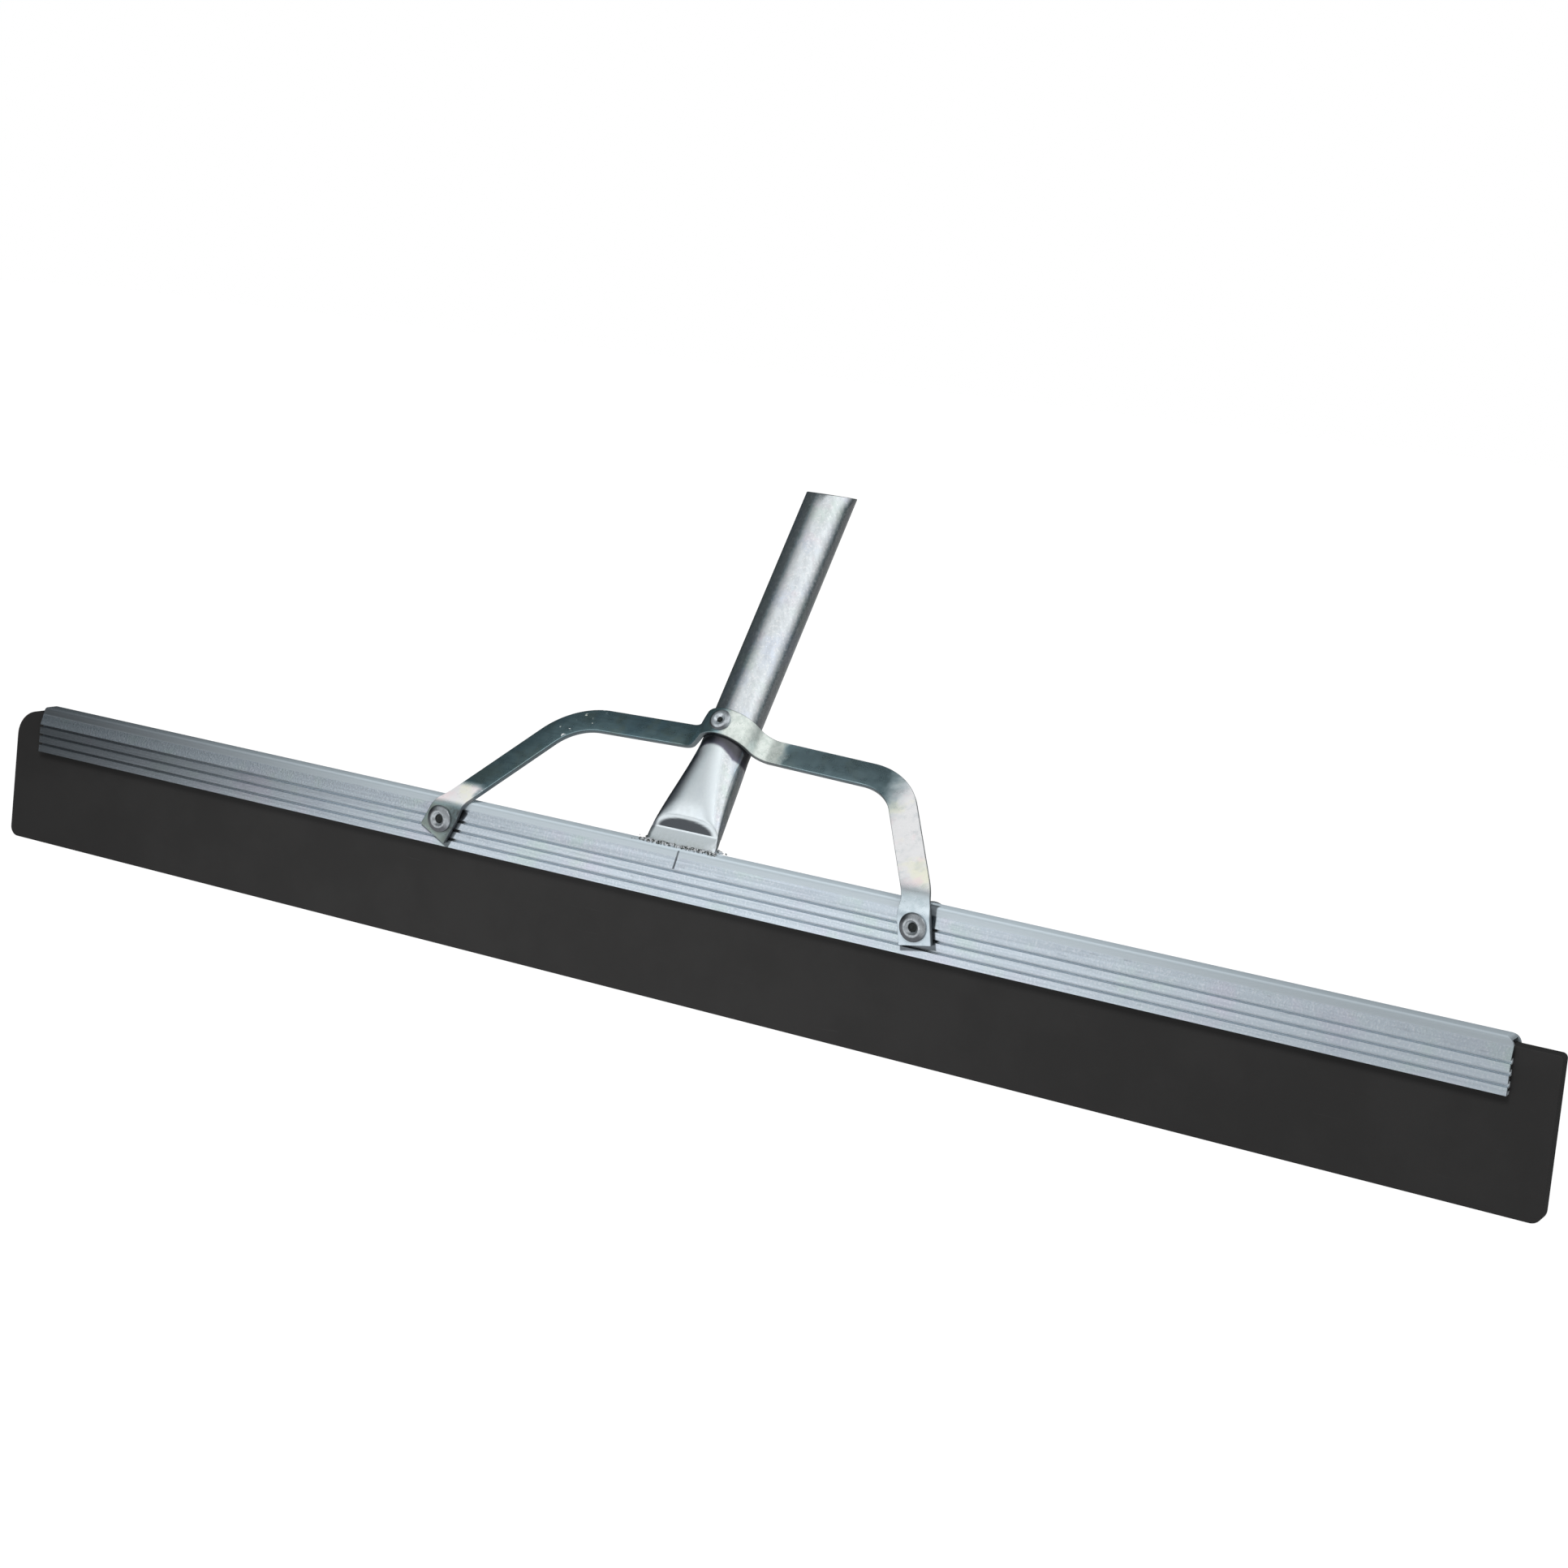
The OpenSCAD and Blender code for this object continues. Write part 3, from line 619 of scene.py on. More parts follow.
def uneven_bead(tree, line):
    """A lumpy tube that wanders along a line and tapers at both ends."""
    wiring, lumps = tree.wiring, tree.size("Lumps")
    fine = wiring.add("GeometryNodeResampleCurve", {"Curve": line, "Count": BEAD_POINTS})
    place = wiring.add("GeometryNodeInputPosition").outputs[0]
    wander = wiring.add("ShaderNodeTexNoise", {"Vector": place, "Scale": 420.0, "Detail": 2.0})
    pair = {0: wander.outputs["Color"], 1: (0.5, 0.5, 0.5)}
    centred = wiring.add("ShaderNodeVectorMath", pair, operation="SUBTRACT").outputs[0]
    bent = wiring.moved(fine.outputs[0], wiring.scaled(centred, lumps))
    along = wiring.add("GeometryNodeSplineParameter").outputs[0]
    near_end = wiring.smaller(along, wiring.minus(1.0, along))
    taper = wiring.maths("POWER", wiring.maths("MULTIPLY", near_end, 9.0, limit=True), 0.4)
    girth = wiring.times(taper, wiring.span(wiring.noise(place, 900.0), 0.3, 0.7, 0.55, 1.15))
    circle = {"Resolution": BEAD_SIDES, "Radius": tree.size("Bead radius")}
    ring = wiring.add("GeometryNodeCurvePrimitiveCircle", circle, mode="RADIUS")
    bead = wiring.add(
        "GeometryNodeCurveToMesh",
        {"Curve": bent, "Profile Curve": ring.outputs[0], "Scale": girth, "Fill Caps": True},
    )
    height = wiring.times(wiring.minus(wiring.noise(place, 1700.0), 0.5), lumps)
    rough = wiring.scaled(wiring.add("GeometryNodeInputNormal").outputs[0], height)
    return wiring.moved(bead.outputs[0], rough)


def spatter(tree, line):
    """Drops of several sizes scattered in a box along a line."""
    wiring, seed = tree.wiring, tree.size("Seed")
    drops = wiring.add("GeometryNodeResampleCurve", {"Curve": line, "Count": tree.size("Drops")})
    limits = {0: tree.size("Spatter low"), 1: tree.size("Spatter high"), "Seed": seed}
    scatter = wiring.add("FunctionNodeRandomValue", limits, data_type="FLOAT_VECTOR")
    spread = wiring.moved(drops.outputs[0], scatter.outputs[0])
    drop = wiring.add("GeometryNodeMeshIcoSphere", {"Radius": tree.size("Drop radius"), "Subdivisions": 2})
    scale = wiring.add("FunctionNodeRandomValue", {2: 0.35, 3: 1.0, "Seed": seed}, data_type="FLOAT")
    sized = {"Points": spread, "Instance": drop.outputs[0], "Scale": scale.outputs[1]}
    return wiring.add("GeometryNodeInstanceOnPoints", sized).outputs[0]


# Materials


WHITE = (1.0, 1.0, 1.0, 1.0)
BLACK = (0.0, 0.0, 0.0, 1.0)
# Dark tone of the scribed line and of the painted shadows beside the feet
SCRIBE_AND_SHADOW = (0.06, 0.07, 0.08, 1.0)


class Coat(Wiring):
    """A material with its own coordinates in the piece's frame and one main shader."""

    def __init__(self, name, metallic=0.0, gloss=0.5):
        self.material = bpy.data.materials.new(name)
        self.material.use_nodes = True
        super().__init__(self.material.node_tree)
        self.shader = self.tree.nodes["Principled BSDF"]
        self.shader.inputs["Metallic"].default_value = metallic
        self.shader.inputs["Specular IOR Level"].default_value = gloss
        place = self.add("ShaderNodeTexCoord")
        self.place = place.outputs["Object"]
        parts = self.add("ShaderNodeSeparateXYZ", {0: self.place})
        self.x, self.y, self.z = parts.outputs

    def stretched(self, scale, turn=(0, 0, 0)):
        """The piece's coordinates, scaled differently along each axis."""
        node = self.add("ShaderNodeMapping", {"Vector": self.place, "Rotation": turn, "Scale": scale})
        return node.outputs[0]

    def mark(self, name):
        """A value that the mesh carries at its points."""
        return self.add("ShaderNodeAttribute", attribute_name=name).outputs["Fac"]

    def colour(self, value):
        self.join(value, self.shader.inputs["Base Color"])

    def roughness(self, value):
        self.join(value, self.shader.inputs["Roughness"])

    def metal(self, dullness, bright, dull):
        """Metallic, and less so where it is dull."""
        value = self.span(dullness, 0.0, 1.0, bright, dull, soft=False)
        self.join(value, self.shader.inputs["Metallic"])

    def relief(self, height, distance, strength=1.0):
        bump = self.add("ShaderNodeBump", {"Height": height, "Distance": distance, "Strength": strength})
        self.join(bump.outputs[0], self.shader.inputs["Normal"])


def shade(colour, times):
    """A colour made darker or lighter."""
    return (*[min(1.0, channel * times) for channel in colour], 1.0)


def tinted(coat, base, tints, scale):
    """The base colour with broad, faint clouds of other tints."""
    colour = shade(base, 1.0)
    for k, (tint, low, share) in enumerate(tints):
        shift = (0.31 * k, 0.17 * k, 0.07)
        place = coat.add("ShaderNodeVectorMath", {0: coat.place, 1: shift}).outputs[0]
        cloud = coat.noise(place, scale * (1 + 0.3 * k), 3.0, 0.6)
        colour = coat.flecked(colour, cloud, low, low + 0.18, share, (*tint, 1.0))
    return colour


def foot_shade(coat, layout, brace, x, splay, inner, outer):
    """1 where painted shadow falls on the channel close round a foot, out to a distance on its inner and
    outer side.
    """
    x = coat.minus(x, brace.foot_half_span)
    z = coat.minus(coat.z, layout.foot_rivet_z)
    cos, sin = math.cos(splay), math.sin(splay)
    across = coat.maths("MULTIPLY_ADD", x, cos, coat.times(z, sin))
    down = coat.maths("MULTIPLY_ADD", x, sin, coat.times(z, -cos))
    half = brace.foot_width / 2
    wide = coat.inside(across, inner - half, outer + half, 0.35 * MM)
    deep = coat.inside(down, -9 * MM, brace.foot_tail + 2.6 * MM, 0.4 * MM)
    front = coat.span(coat.y, -1 * MM, 0.0, 1.0, 0.0)
    return coat.times(front, coat.times(wide, deep))


def groove_mask(coat, layout):
    """1 in the channel's grooves, 0 on its ribs and its plain band."""
    outward = coat.maths("ABSOLUTE", coat.y)
    top = layout.first_groove_z
    below = coat.span(coat.z, top + 0.9 * MM, top + 1.2 * MM, 1.0, 0.0)
    deep = coat.span(outward, layout.rib_half - 1.5 * MM, layout.rib_half - 0.25 * MM, 1.0, 0.0)
    return coat.times(below, deep)


def scribed_line(coat, layout):
    """1 on the thin line scribed across the plain band at the middle."""
    slant = coat.plus(coat.x, coat.times(coat.z, -0.06))
    line = coat.inside(slant, -1.6 * MM, -0.8 * MM, 0.15 * MM)
    top = layout.first_groove_z
    line = coat.times(line, coat.span(coat.z, top, top + 0.5 * MM))
    return coat.times(line, coat.span(coat.y, -4.3 * MM, -4.0 * MM, 1.0, 0.0))


def crest_shading(coat, base, crest_z):
    """The rounded crest: painted shade at the left, a painted highlight along the middle, and painted shade
    to the right and lower down.
    """
    tone = coat.blend(coat.span(coat.x, -0.38, -0.08), shade(base, 0.2), shade(base, 1.4))
    tone = coat.flecked(tone, coat.x, 0.12, 0.32, 0.35, shade(base, 0.3))
    low = coat.span(coat.z, crest_z - 1.0 * MM, crest_z + 0.1 * MM, 0.44, 0.0)
    return coat.blend(low, tone, BLACK)


def channel_zinc(settings, layout):
    """Bluish rolled zinc with streaks and a scribed line, painted shade and light in the grooves, a dull
    crest with painted shade and highlight, painted shade at the left end and painted shadows beside the
    feet.
    """
    coat = Coat("channel_zinc")
    base, brace = settings.colours.channel, settings.brace
    speckle_tone = (0.86, 0.90, 0.95, 1.0)
    shaded_groove, lit_groove = (0.16, 0.18, 0.20, 1.0), (0.78, 0.85, 0.90, 1.0)
    tints = [
        ((0.63, 0.62, 0.74), 0.50, 0.55),
        ((0.56, 0.70, 0.66), 0.52, 0.55),
        ((0.50, 0.57, 0.66), 0.54, 0.45),
    ]
    colour = tinted(coat, base, tints, 34.0)
    streaks = coat.noise(coat.stretched((14, 160, 900)), 1.0, 4.0, 0.6)
    colour = coat.flecked(colour, streaks, 0.35, 0.65, 0.26, shade(base, 0.66))
    speckle = coat.noise(coat.place, 1150.0, 2.0, 0.6)
    colour = coat.flecked(colour, speckle, 0.48, 0.72, 0.34, speckle_tone)
    scuffs = coat.noise(coat.stretched((90, 300, 420)), 1.0, 5.0, 0.7)
    colour = coat.flecked(colour, scuffs, 0.58, 0.74, 0.5, shade(base, 0.5))

    groove = groove_mask(coat, layout)
    far_left = coat.span(coat.x, -0.37, -0.16)
    # Painted shade in the grooves at the left end and painted light in them further right
    groove_shading = coat.blend(far_left, shaded_groove, lit_groove)
    colour = coat.blend(coat.times(groove, 0.8), colour, groove_shading)
    # Painted shade over the left end of the channel
    colour = coat.blend(far_left, coat.blend(0.5, colour, shade(base, 0.12)), colour)
    # The crest is painted with shade and highlight in place of its reflections
    crest = coat.span(coat.z, layout.crest_z - 3.6 * MM, layout.crest_z - 2.7 * MM)
    colour = coat.blend(crest, colour, crest_shading(coat, base, layout.crest_z))

    line = scribed_line(coat, layout)
    # Painted shadows cast by the feet on the channel
    mirrored = coat.times(coat.x, -1.0)
    shades = [
        foot_shade(coat, layout, brace, coat.x, brace.right_splay, -0.3 * MM, 1.1 * MM),
        foot_shade(coat, layout, brace, mirrored, brace.left_splay, -1.8 * MM, 0.2 * MM),
    ]
    # The scribed line and the painted shadows beside the feet share one dark tone
    scribe_and_shadows = coat.larger(line, coat.larger(*shades))
    coat.colour(coat.blend(coat.times(scribe_and_shadows, 0.85), colour, SCRIBE_AND_SHADOW))
    coat.metal(coat.larger(crest, coat.times(groove, 0.6)), 0.95, 0.15)
    coat.roughness(coat.span(streaks, 0.3, 0.7, 0.19, 0.27))
    coat.relief(coat.minus(coat.plus(speckle, streaks), line), 0.05 * MM, 0.6)
    return coat.material


def strap_shadow_band(coat, station):
    """How strongly the painted shadow under the brace lies on the tube, in an arch over its middle, and its
    colour there.
    """
    aside = coat.smaller(coat.maths("ABSOLUTE", coat.x), 9 * MM)
    sagged = coat.plus(station, coat.times(coat.times(aside, aside), 0.05 / MM))
    share = coat.span(sagged, 42.6 * MM, 44.0 * MM)
    share = coat.times(share, coat.span(station, 49 * MM, 51 * MM, 0.92, 0.0))
    # Violet and soot here are the painted shadow's colours, darkest towards the brace
    violet, soot = (0.10, 0.095, 0.14, 1.0), (0.030, 0.028, 0.036, 1.0)
    return share, coat.blend(coat.span(sagged, 43.6 * MM, 47 * MM), violet, soot)


def tube_zinc(settings, layout):
    """Bright spangled zinc, with a painted sheen on the pale tab, painted shadow in its dent, painted shade
    down its left side and a painted shadow band under the brace.
    """
    coat = Coat("tube_zinc")
    base = settings.colours.tube
    speckle_tone, tab_sheen = (0.93, 0.95, 0.96, 1.0), (0.83, 0.91, 0.95, 1.0)
    weld_tone = (0.56, 0.62, 0.58, 1.0)
    side_shade, dent_shade = (0.045, 0.055, 0.075, 1.0), (0.030, 0.035, 0.045, 1.0)
    tints = [
        ((0.64, 0.71, 0.84), 0.48, 0.55),
        ((0.66, 0.77, 0.72), 0.50, 0.55),
        ((0.80, 0.74, 0.79), 0.53, 0.5),
    ]
    colour = tinted(coat, base, tints, 60.0)
    streaks = coat.noise(coat.stretched((520, 520, 46), (settings.socket.lean, 0, 0)), 1.0, 4.0, 0.6)
    colour = coat.flecked(colour, streaks, 0.38, 0.66, 0.3, shade(base, 0.6))
    speckle = coat.noise(coat.place, 800.0, 3.0, 0.65)
    colour = coat.flecked(colour, speckle, 0.50, 0.66, 0.55, speckle_tone)

    station = coat.minus(coat.dot(coat.place, layout.tube_dir), layout.tube_foot.dot(layout.tube_dir))
    # A pale, less metallic painted sheen where the flattened tube faces the front
    flattened = coat.times(coat.mark("flattened"), coat.span(station, 42 * MM, 45 * MM, 1.0, 0.0))
    colour = coat.blend(coat.times(flattened, 0.8), colour, tab_sheen)
    # Painted shade down the left side of the flare
    colour = coat.blend(coat.times(coat.mark("shadowed"), 0.88), colour, side_shade)
    # Painted shadow band on the tube under the brace
    strap_shadow, strap_shadow_tone = strap_shadow_band(coat, station)
    colour = coat.blend(strap_shadow, colour, strap_shadow_tone)
    # Painted shadow in the dent above the tab
    colour = coat.blend(coat.times(coat.mark("pressed"), 0.94), colour, dent_shade)
    heat = coat.span(coat.z, layout.crest_z, layout.crest_z + 7 * MM, 0.45, 0.0)
    heat = coat.times(heat, coat.span(speckle, 0.4, 0.6))
    coat.colour(coat.blend(heat, colour, weld_tone))
    coat.metal(flattened, 0.93, 0.6)
    coat.roughness(coat.span(speckle, 0.35, 0.65, 0.16, 0.26))
    coat.relief(coat.plus(speckle, streaks), 0.04 * MM, 0.28)
    return coat.material


def bend_shading(coat, base, right_side, right_bend):
    """The bar's colour where it is folded and flattened: painted shade on the left foot, painted light on
    the right, with flecks of wear.
    """
    grey_foot, dark_foot = (0.25, 0.30, 0.28, 1.0), (0.06, 0.07, 0.07, 1.0)
    pale_foot, pale_bend = (0.60, 0.69, 0.76, 1.0), (0.74, 0.84, 0.90, 1.0)
    left = coat.blend(coat.span(coat.x, -119 * MM, -110 * MM), grey_foot, dark_foot)
    right = coat.blend(right_bend, pale_foot, pale_bend)
    tone = coat.blend(right_side, left, right)
    wear = coat.noise(coat.place, 300.0, 4.0, 0.65)
    return coat.flecked(tone, wear, 0.42, 0.64, 0.25, shade(base, 0.6))


def whitening_mask(coat, x, above_bend, crest):
    """1 where the bar is painted pale: the right leg, the left fold and chips near the left corner."""
    right_leg = coat.times(coat.span(x, 75 * MM, 91 * MM), above_bend)
    thin = coat.span(coat.noise(coat.place, 240.0, 4.0, 0.65), 0.30, 0.52, 0.85, 1.0)
    right_leg = coat.times(right_leg, thin)
    fold = coat.inside(coat.z, crest - 1 * MM, crest + 7 * MM, 1.5 * MM)
    left_fold = coat.times(fold, coat.span(x, -105 * MM, -101 * MM, 1.0, 0.0))
    chips = coat.span(coat.noise(coat.place, 420.0, 3.0, 0.7), 0.635, 0.68, 0.0, 0.9)
    chips = coat.times(chips, coat.inside(coat.x, -86 * MM, -68 * MM, 3 * MM))
    return coat.larger(coat.larger(right_leg, left_fold), chips)


def strap_zinc(settings, layout):
    """Slate zinc with scratches, less metallic where it is bent: painted shade on the left leg and foot and
    along the edges, painted light on the right arm and bend, pale patches, and a mottled wrap painted pale
    as light.
    """
    coat = Coat("strap_zinc")
    base, crest = settings.colours.strap, layout.crest_z
    lit_arm, edge_shade = (0.62, 0.80, 0.86, 1.0), (0.08, 0.09, 0.10, 1.0)
    wrap_pale, wrap_dark = (0.75, 0.81, 0.77, 1.0), (0.61, 0.68, 0.64, 1.0)
    colour = tinted(coat, base, [((0.34, 0.55, 0.66), 0.48, 0.6), ((0.44, 0.58, 0.54), 0.5, 0.6)], 70.0)
    scratches = coat.noise(coat.stretched((60, 700, 700)), 1.0, 4.0, 0.65)
    colour = coat.flecked(colour, scratches, 0.4, 0.68, 0.28, shade(base, 0.55))
    colour = coat.flecked(colour, coat.x, 15 * MM, 35 * MM, 0.45, lit_arm)
    # Painted shade on the left leg
    left_leg = coat.span(coat.x, -98 * MM, -82 * MM, 0.2, 0.0)
    colour = coat.blend(left_leg, colour, shade(base, 0.3))
    ripple = coat.noise(coat.place, 160.0, 3.0, 0.6)
    x = coat.plus(coat.x, coat.times(coat.minus(ripple, 0.5), 9 * MM))

    right_side = coat.span(coat.x, -1 * MM, 1 * MM)
    above_fold = coat.span(coat.z, crest - 4 * MM, crest + 1 * MM)
    above_bend = coat.span(coat.z, crest + 1 * MM, crest + 8 * MM)
    bent = coat.minus(1.0, coat.span(right_side, 0.0, 1.0, above_fold, above_bend, soft=False))
    right_bend = coat.inside(coat.z, crest - 3 * MM, crest + 20 * MM, 1.5 * MM)
    # Painted shade on the left foot and painted light on the right bend and foot
    colour = coat.blend(bent, colour, bend_shading(coat, base, right_side, right_bend))

    whitening = whitening_mask(coat, x, above_bend, crest)
    clouds = [((0.84, 0.84, 0.66), 0.47, 0.7), ((0.86, 0.73, 0.75), 0.52, 0.7)]
    colour = coat.blend(whitening, colour, tinted(coat, settings.colours.whitening, clouds, 75.0))
    # The wrap's right part is painted pale with a mottle, as painted light
    high = coat.span(coat.z, crest + 30 * MM, crest + 34 * MM)
    wrap = coat.times(coat.inside(x, 2 * MM, 25 * MM, 2.5 * MM), high)
    mottle = coat.span(coat.noise(coat.place, 520.0, 4.0, 0.7), 0.42, 0.60)
    colour = coat.blend(wrap, colour, coat.blend(mottle, wrap_pale, wrap_dark))
    # Painted shade on the bar's edge faces
    coat.colour(coat.blend(coat.times(coat.mark("rim"), 0.9), colour, edge_shade))

    rubbed = coat.times(bent, coat.span(right_bend, 0.0, 1.0, 0.5, 0.8, soft=False))
    dull = coat.larger(coat.larger(whitening, rubbed), coat.times(wrap, 0.5))
    coat.metal(dull, 0.93, 0.08)
    coat.roughness(coat.span(ripple, 0.3, 0.7, 0.25, 0.35))
    coat.relief(coat.plus(scratches, ripple), 0.05 * MM, 0.4)
    return coat.material


def rivet_steel(name, base):
    """Satin steel, with a painted shade line round the flange that is strongest at its lower left."""
    coat = Coat(name, metallic=0.85)
    bright_tone, ring_shade = (0.85, 0.88, 0.90, 1.0), (0.07, 0.075, 0.085, 1.0)
    grain = coat.noise(coat.place, 900.0, 3.0, 0.6)
    colour = coat.flecked(shade(base, 1.0), grain, 0.4, 0.7, 0.6, shade(base, 0.55))
    colour = coat.flecked(colour, coat.noise(coat.place, 2400.0), 0.55, 0.7, 0.4, bright_tone)
    # Painted shade round the flange, strongest at the lower left
    ring = coat.inside(coat.mark("reach"), 3.9 * MM, 6.4 * MM, 0.35 * MM)
    ring = coat.times(ring, coat.span(coat.mark("low"), -0.75, 0.1, 0.2, 0.9))
    coat.colour(coat.blend(ring, colour, ring_shade))
    coat.roughness(coat.span(grain, 0.3, 0.7, 0.28, 0.42))
    coat.relief(grain, 0.04 * MM, 0.6)
    return coat.material


def pin_steel(settings):
    """Dark, rough steel of a broken end."""
    coat = Coat("pin_steel", metallic=0.6)
    base = settings.colours.pin
    grain = coat.noise(coat.place, 1500.0, 3.0, 0.6)
    coat.colour(coat.blend(coat.span(grain, 0.4, 0.7), shade(base, 0.7), shade(base, 2.2)))
    coat.roughness(coat.span(grain, 0.3, 0.7, 0.45, 0.7))
    coat.relief(grain, 0.08 * MM, 0.8)
    return coat.material


def weld_metal(settings):
    """Rough grey metal with soot and pale flecks."""
    coat = Coat("weld_metal", metallic=0.5)
    base = settings.colours.weld
    soot_tone, fleck_tone = (0.05, 0.06, 0.055, 1.0), (0.90, 0.93, 0.95, 1.0)
    soot = coat.span(coat.noise(coat.place, 620.0, 3.0, 0.65), 0.47, 0.56)
    colour = coat.blend(soot, shade(base, 1.3), soot_tone)
    flecks = coat.noise(coat.place, 1300.0, 2.0, 0.6)
    coat.colour(coat.flecked(colour, flecks, 0.55, 0.62, 1.0, fleck_tone))
    coat.roughness(coat.span(soot, 0.0, 1.0, 0.34, 0.75))
    coat.relief(coat.noise(coat.place, 1500.0, 3.0, 0.7), 0.18 * MM, 0.9)
    return coat.material


def blade_rubber(settings):
    """Matt black rubber with faint clouds and a little dust."""
    coat = Coat("blade_rubber", gloss=0.12)
    base, dust_tone = settings.colours.rubber, (0.09, 0.09, 0.092, 1.0)
    cloud = coat.noise(coat.place, 26.0, 4.0, 0.6)
    colour = coat.blend(coat.span(cloud, 0.35, 0.65), shade(base, 0.93), shade(base, 1.07))
    dust = coat.noise(coat.stretched((40, 300, 620)), 1.0, 5.0, 0.7)
    coat.colour(coat.flecked(colour, dust, 0.62, 0.8, 0.12, dust_tone))
    coat.roughness(coat.span(cloud, 0.3, 0.7, 0.80, 0.92))
    coat.relief(coat.plus(coat.noise(coat.place, 2600.0, 2.0, 0.6), dust), 0.04 * MM, 0.4)
    return coat.material


# Pieces


def channel_outline(settings, layout):
    """Points of the folded sheet's section, as Y and Z."""
    channel = settings.channel
    lip = settings.blade.drop
    radius = channel.crest_radius
    outer = [(layout.rib_half, lip)]
    inner = [(layout.blade_half, lip), (layout.blade_half, lip + channel.sheet)]
    inner.append((layout.rib_half - channel.sheet, lip + channel.sheet))
    grip = (channel.groove_floor + channel.sheet) / 2
    shoulder = (channel.groove_mouth - channel.groove_floor) / 4
    mouth, floor = channel.groove_mouth / 2, channel.groove_floor / 2
    for i in range(channel.groove_count - 1, -1, -1):
        z = layout.first_groove_z - i * channel.groove_pitch
        outer += [(layout.rib_half, z - mouth), (layout.groove_half, z - floor)]
        outer += [(layout.groove_half, z + floor), (layout.rib_half, z + mouth)]
        inner += [(layout.rib_half - channel.sheet, z - grip - shoulder), (layout.blade_half, z - grip)]
        inner += [(layout.blade_half, z + grip), (layout.rib_half - channel.sheet, z + grip + shoulder)]
    for turn in quarter(8):
        y = layout.crest_half - radius * (1 - math.cos(turn))
        outer.append((y, layout.crest_z - radius * (1 - math.sin(turn))))
    inner.append((layout.crest_half - channel.sheet, layout.blade_top + settings.blade.crest_gap / 2))
    inner.append((layout.crest_half - channel.sheet, layout.crest_z - channel.sheet))
    right = outer + [(-y, z) for y, z in reversed(outer)]
    left = [(-y, z) for y, z in inner] + list(reversed(inner))
    return right + left


class SQUEEGEE_OT_channel(bpy.types.Operator):
    """Adds the ribbed sheet that grips the rubber"""

    bl_idname = "squeegee.add_channel"
    bl_label = "Add channel"

    def execute(self, context):
        settings, layout = plan(context)
        channel = settings.channel
        half = channel.length / 2
        outline = channel_outline(settings, layout)
        section = bpy.data.meshes.new("channel_section")
        section.from_pydata([(-half, y, z) for y, z in outline], [], [tuple(range(len(outline)))])
        work = bmesh.new()
        work.from_mesh(section)
        for face in work.faces:
            face.normal_update()
            if face.normal.x < 0:
                face.normal_flip()
        work.to_mesh(section)
        work.free()

        r = channel.end_corner
        wide = layout.rib_half + 1 * MM
        crest = layout.crest_z
        arc = [(half - r + r * math.sin(t), crest - r + r * math.cos(t)) for t in quarter(12)]
        shape = arc + [(half + r, crest - r), (half + r, crest + r), (half - r, crest + r)]
        points, faces = loft([[Vector((x, y, z)) for x, z in shape] for y in (-wide, wide)])
        cutter = bpy.data.objects.new("corner_cutter", closed_mesh("corner_cutter", points, faces))
        context.scene.collection.objects.link(cutter)

        material = channel_zinc(settings, layout)
        values = {"Length": channel.length, "Corner cutter": cutter, "Material": material}
        piece = rolled_section_tree().grow("channel_skin", section, values, sharp=30)
        bpy.data.objects.remove(cutter)
        soften(piece, channel.edge, 3, 24)
        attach(piece, BODY)
        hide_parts("channel")
        return {"FINISHED"}


class SQUEEGEE_OT_blade(bpy.types.Operator):
    """Adds the rubber blade with its moulded corners"""

    bl_idname = "squeegee.add_blade"
    bl_label = "Add blade"

    def execute(self, context):
        settings, layout = plan(context)
        blade = settings.blade
        half, top = blade.length / 2, layout.blade_top
        corners = [
            (half - blade.low_corner, blade.low_corner, blade.low_corner, -90),
            (half - blade.small_corner, top - blade.small_corner, blade.small_corner, 0),
            (blade.big_corner - half, top - blade.big_corner, blade.big_corner, 90),
            (blade.low_corner - half, blade.low_corner, blade.low_corner, 180),
        ]
        outline = []
        for x, z, radius, start in corners:
            for turn in quarter(14):
                angle = math.radians(start) + turn
                outline.append((x + radius * math.cos(angle), z + radius * math.sin(angle)))
        faces = (-layout.blade_half, layout.blade_half)
        rings = [[Vector((x, y, z)) for x, z in outline] for y in faces]
        mesh = closed_mesh("blade_rubber", *loft(rings))
        piece = add_piece("blade_rubber", mesh, blade_rubber(settings))
        soften(piece, blade.edge, 3, 40)
        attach(piece, BODY)
        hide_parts("rubber_blade")
        return {"FINISHED"}


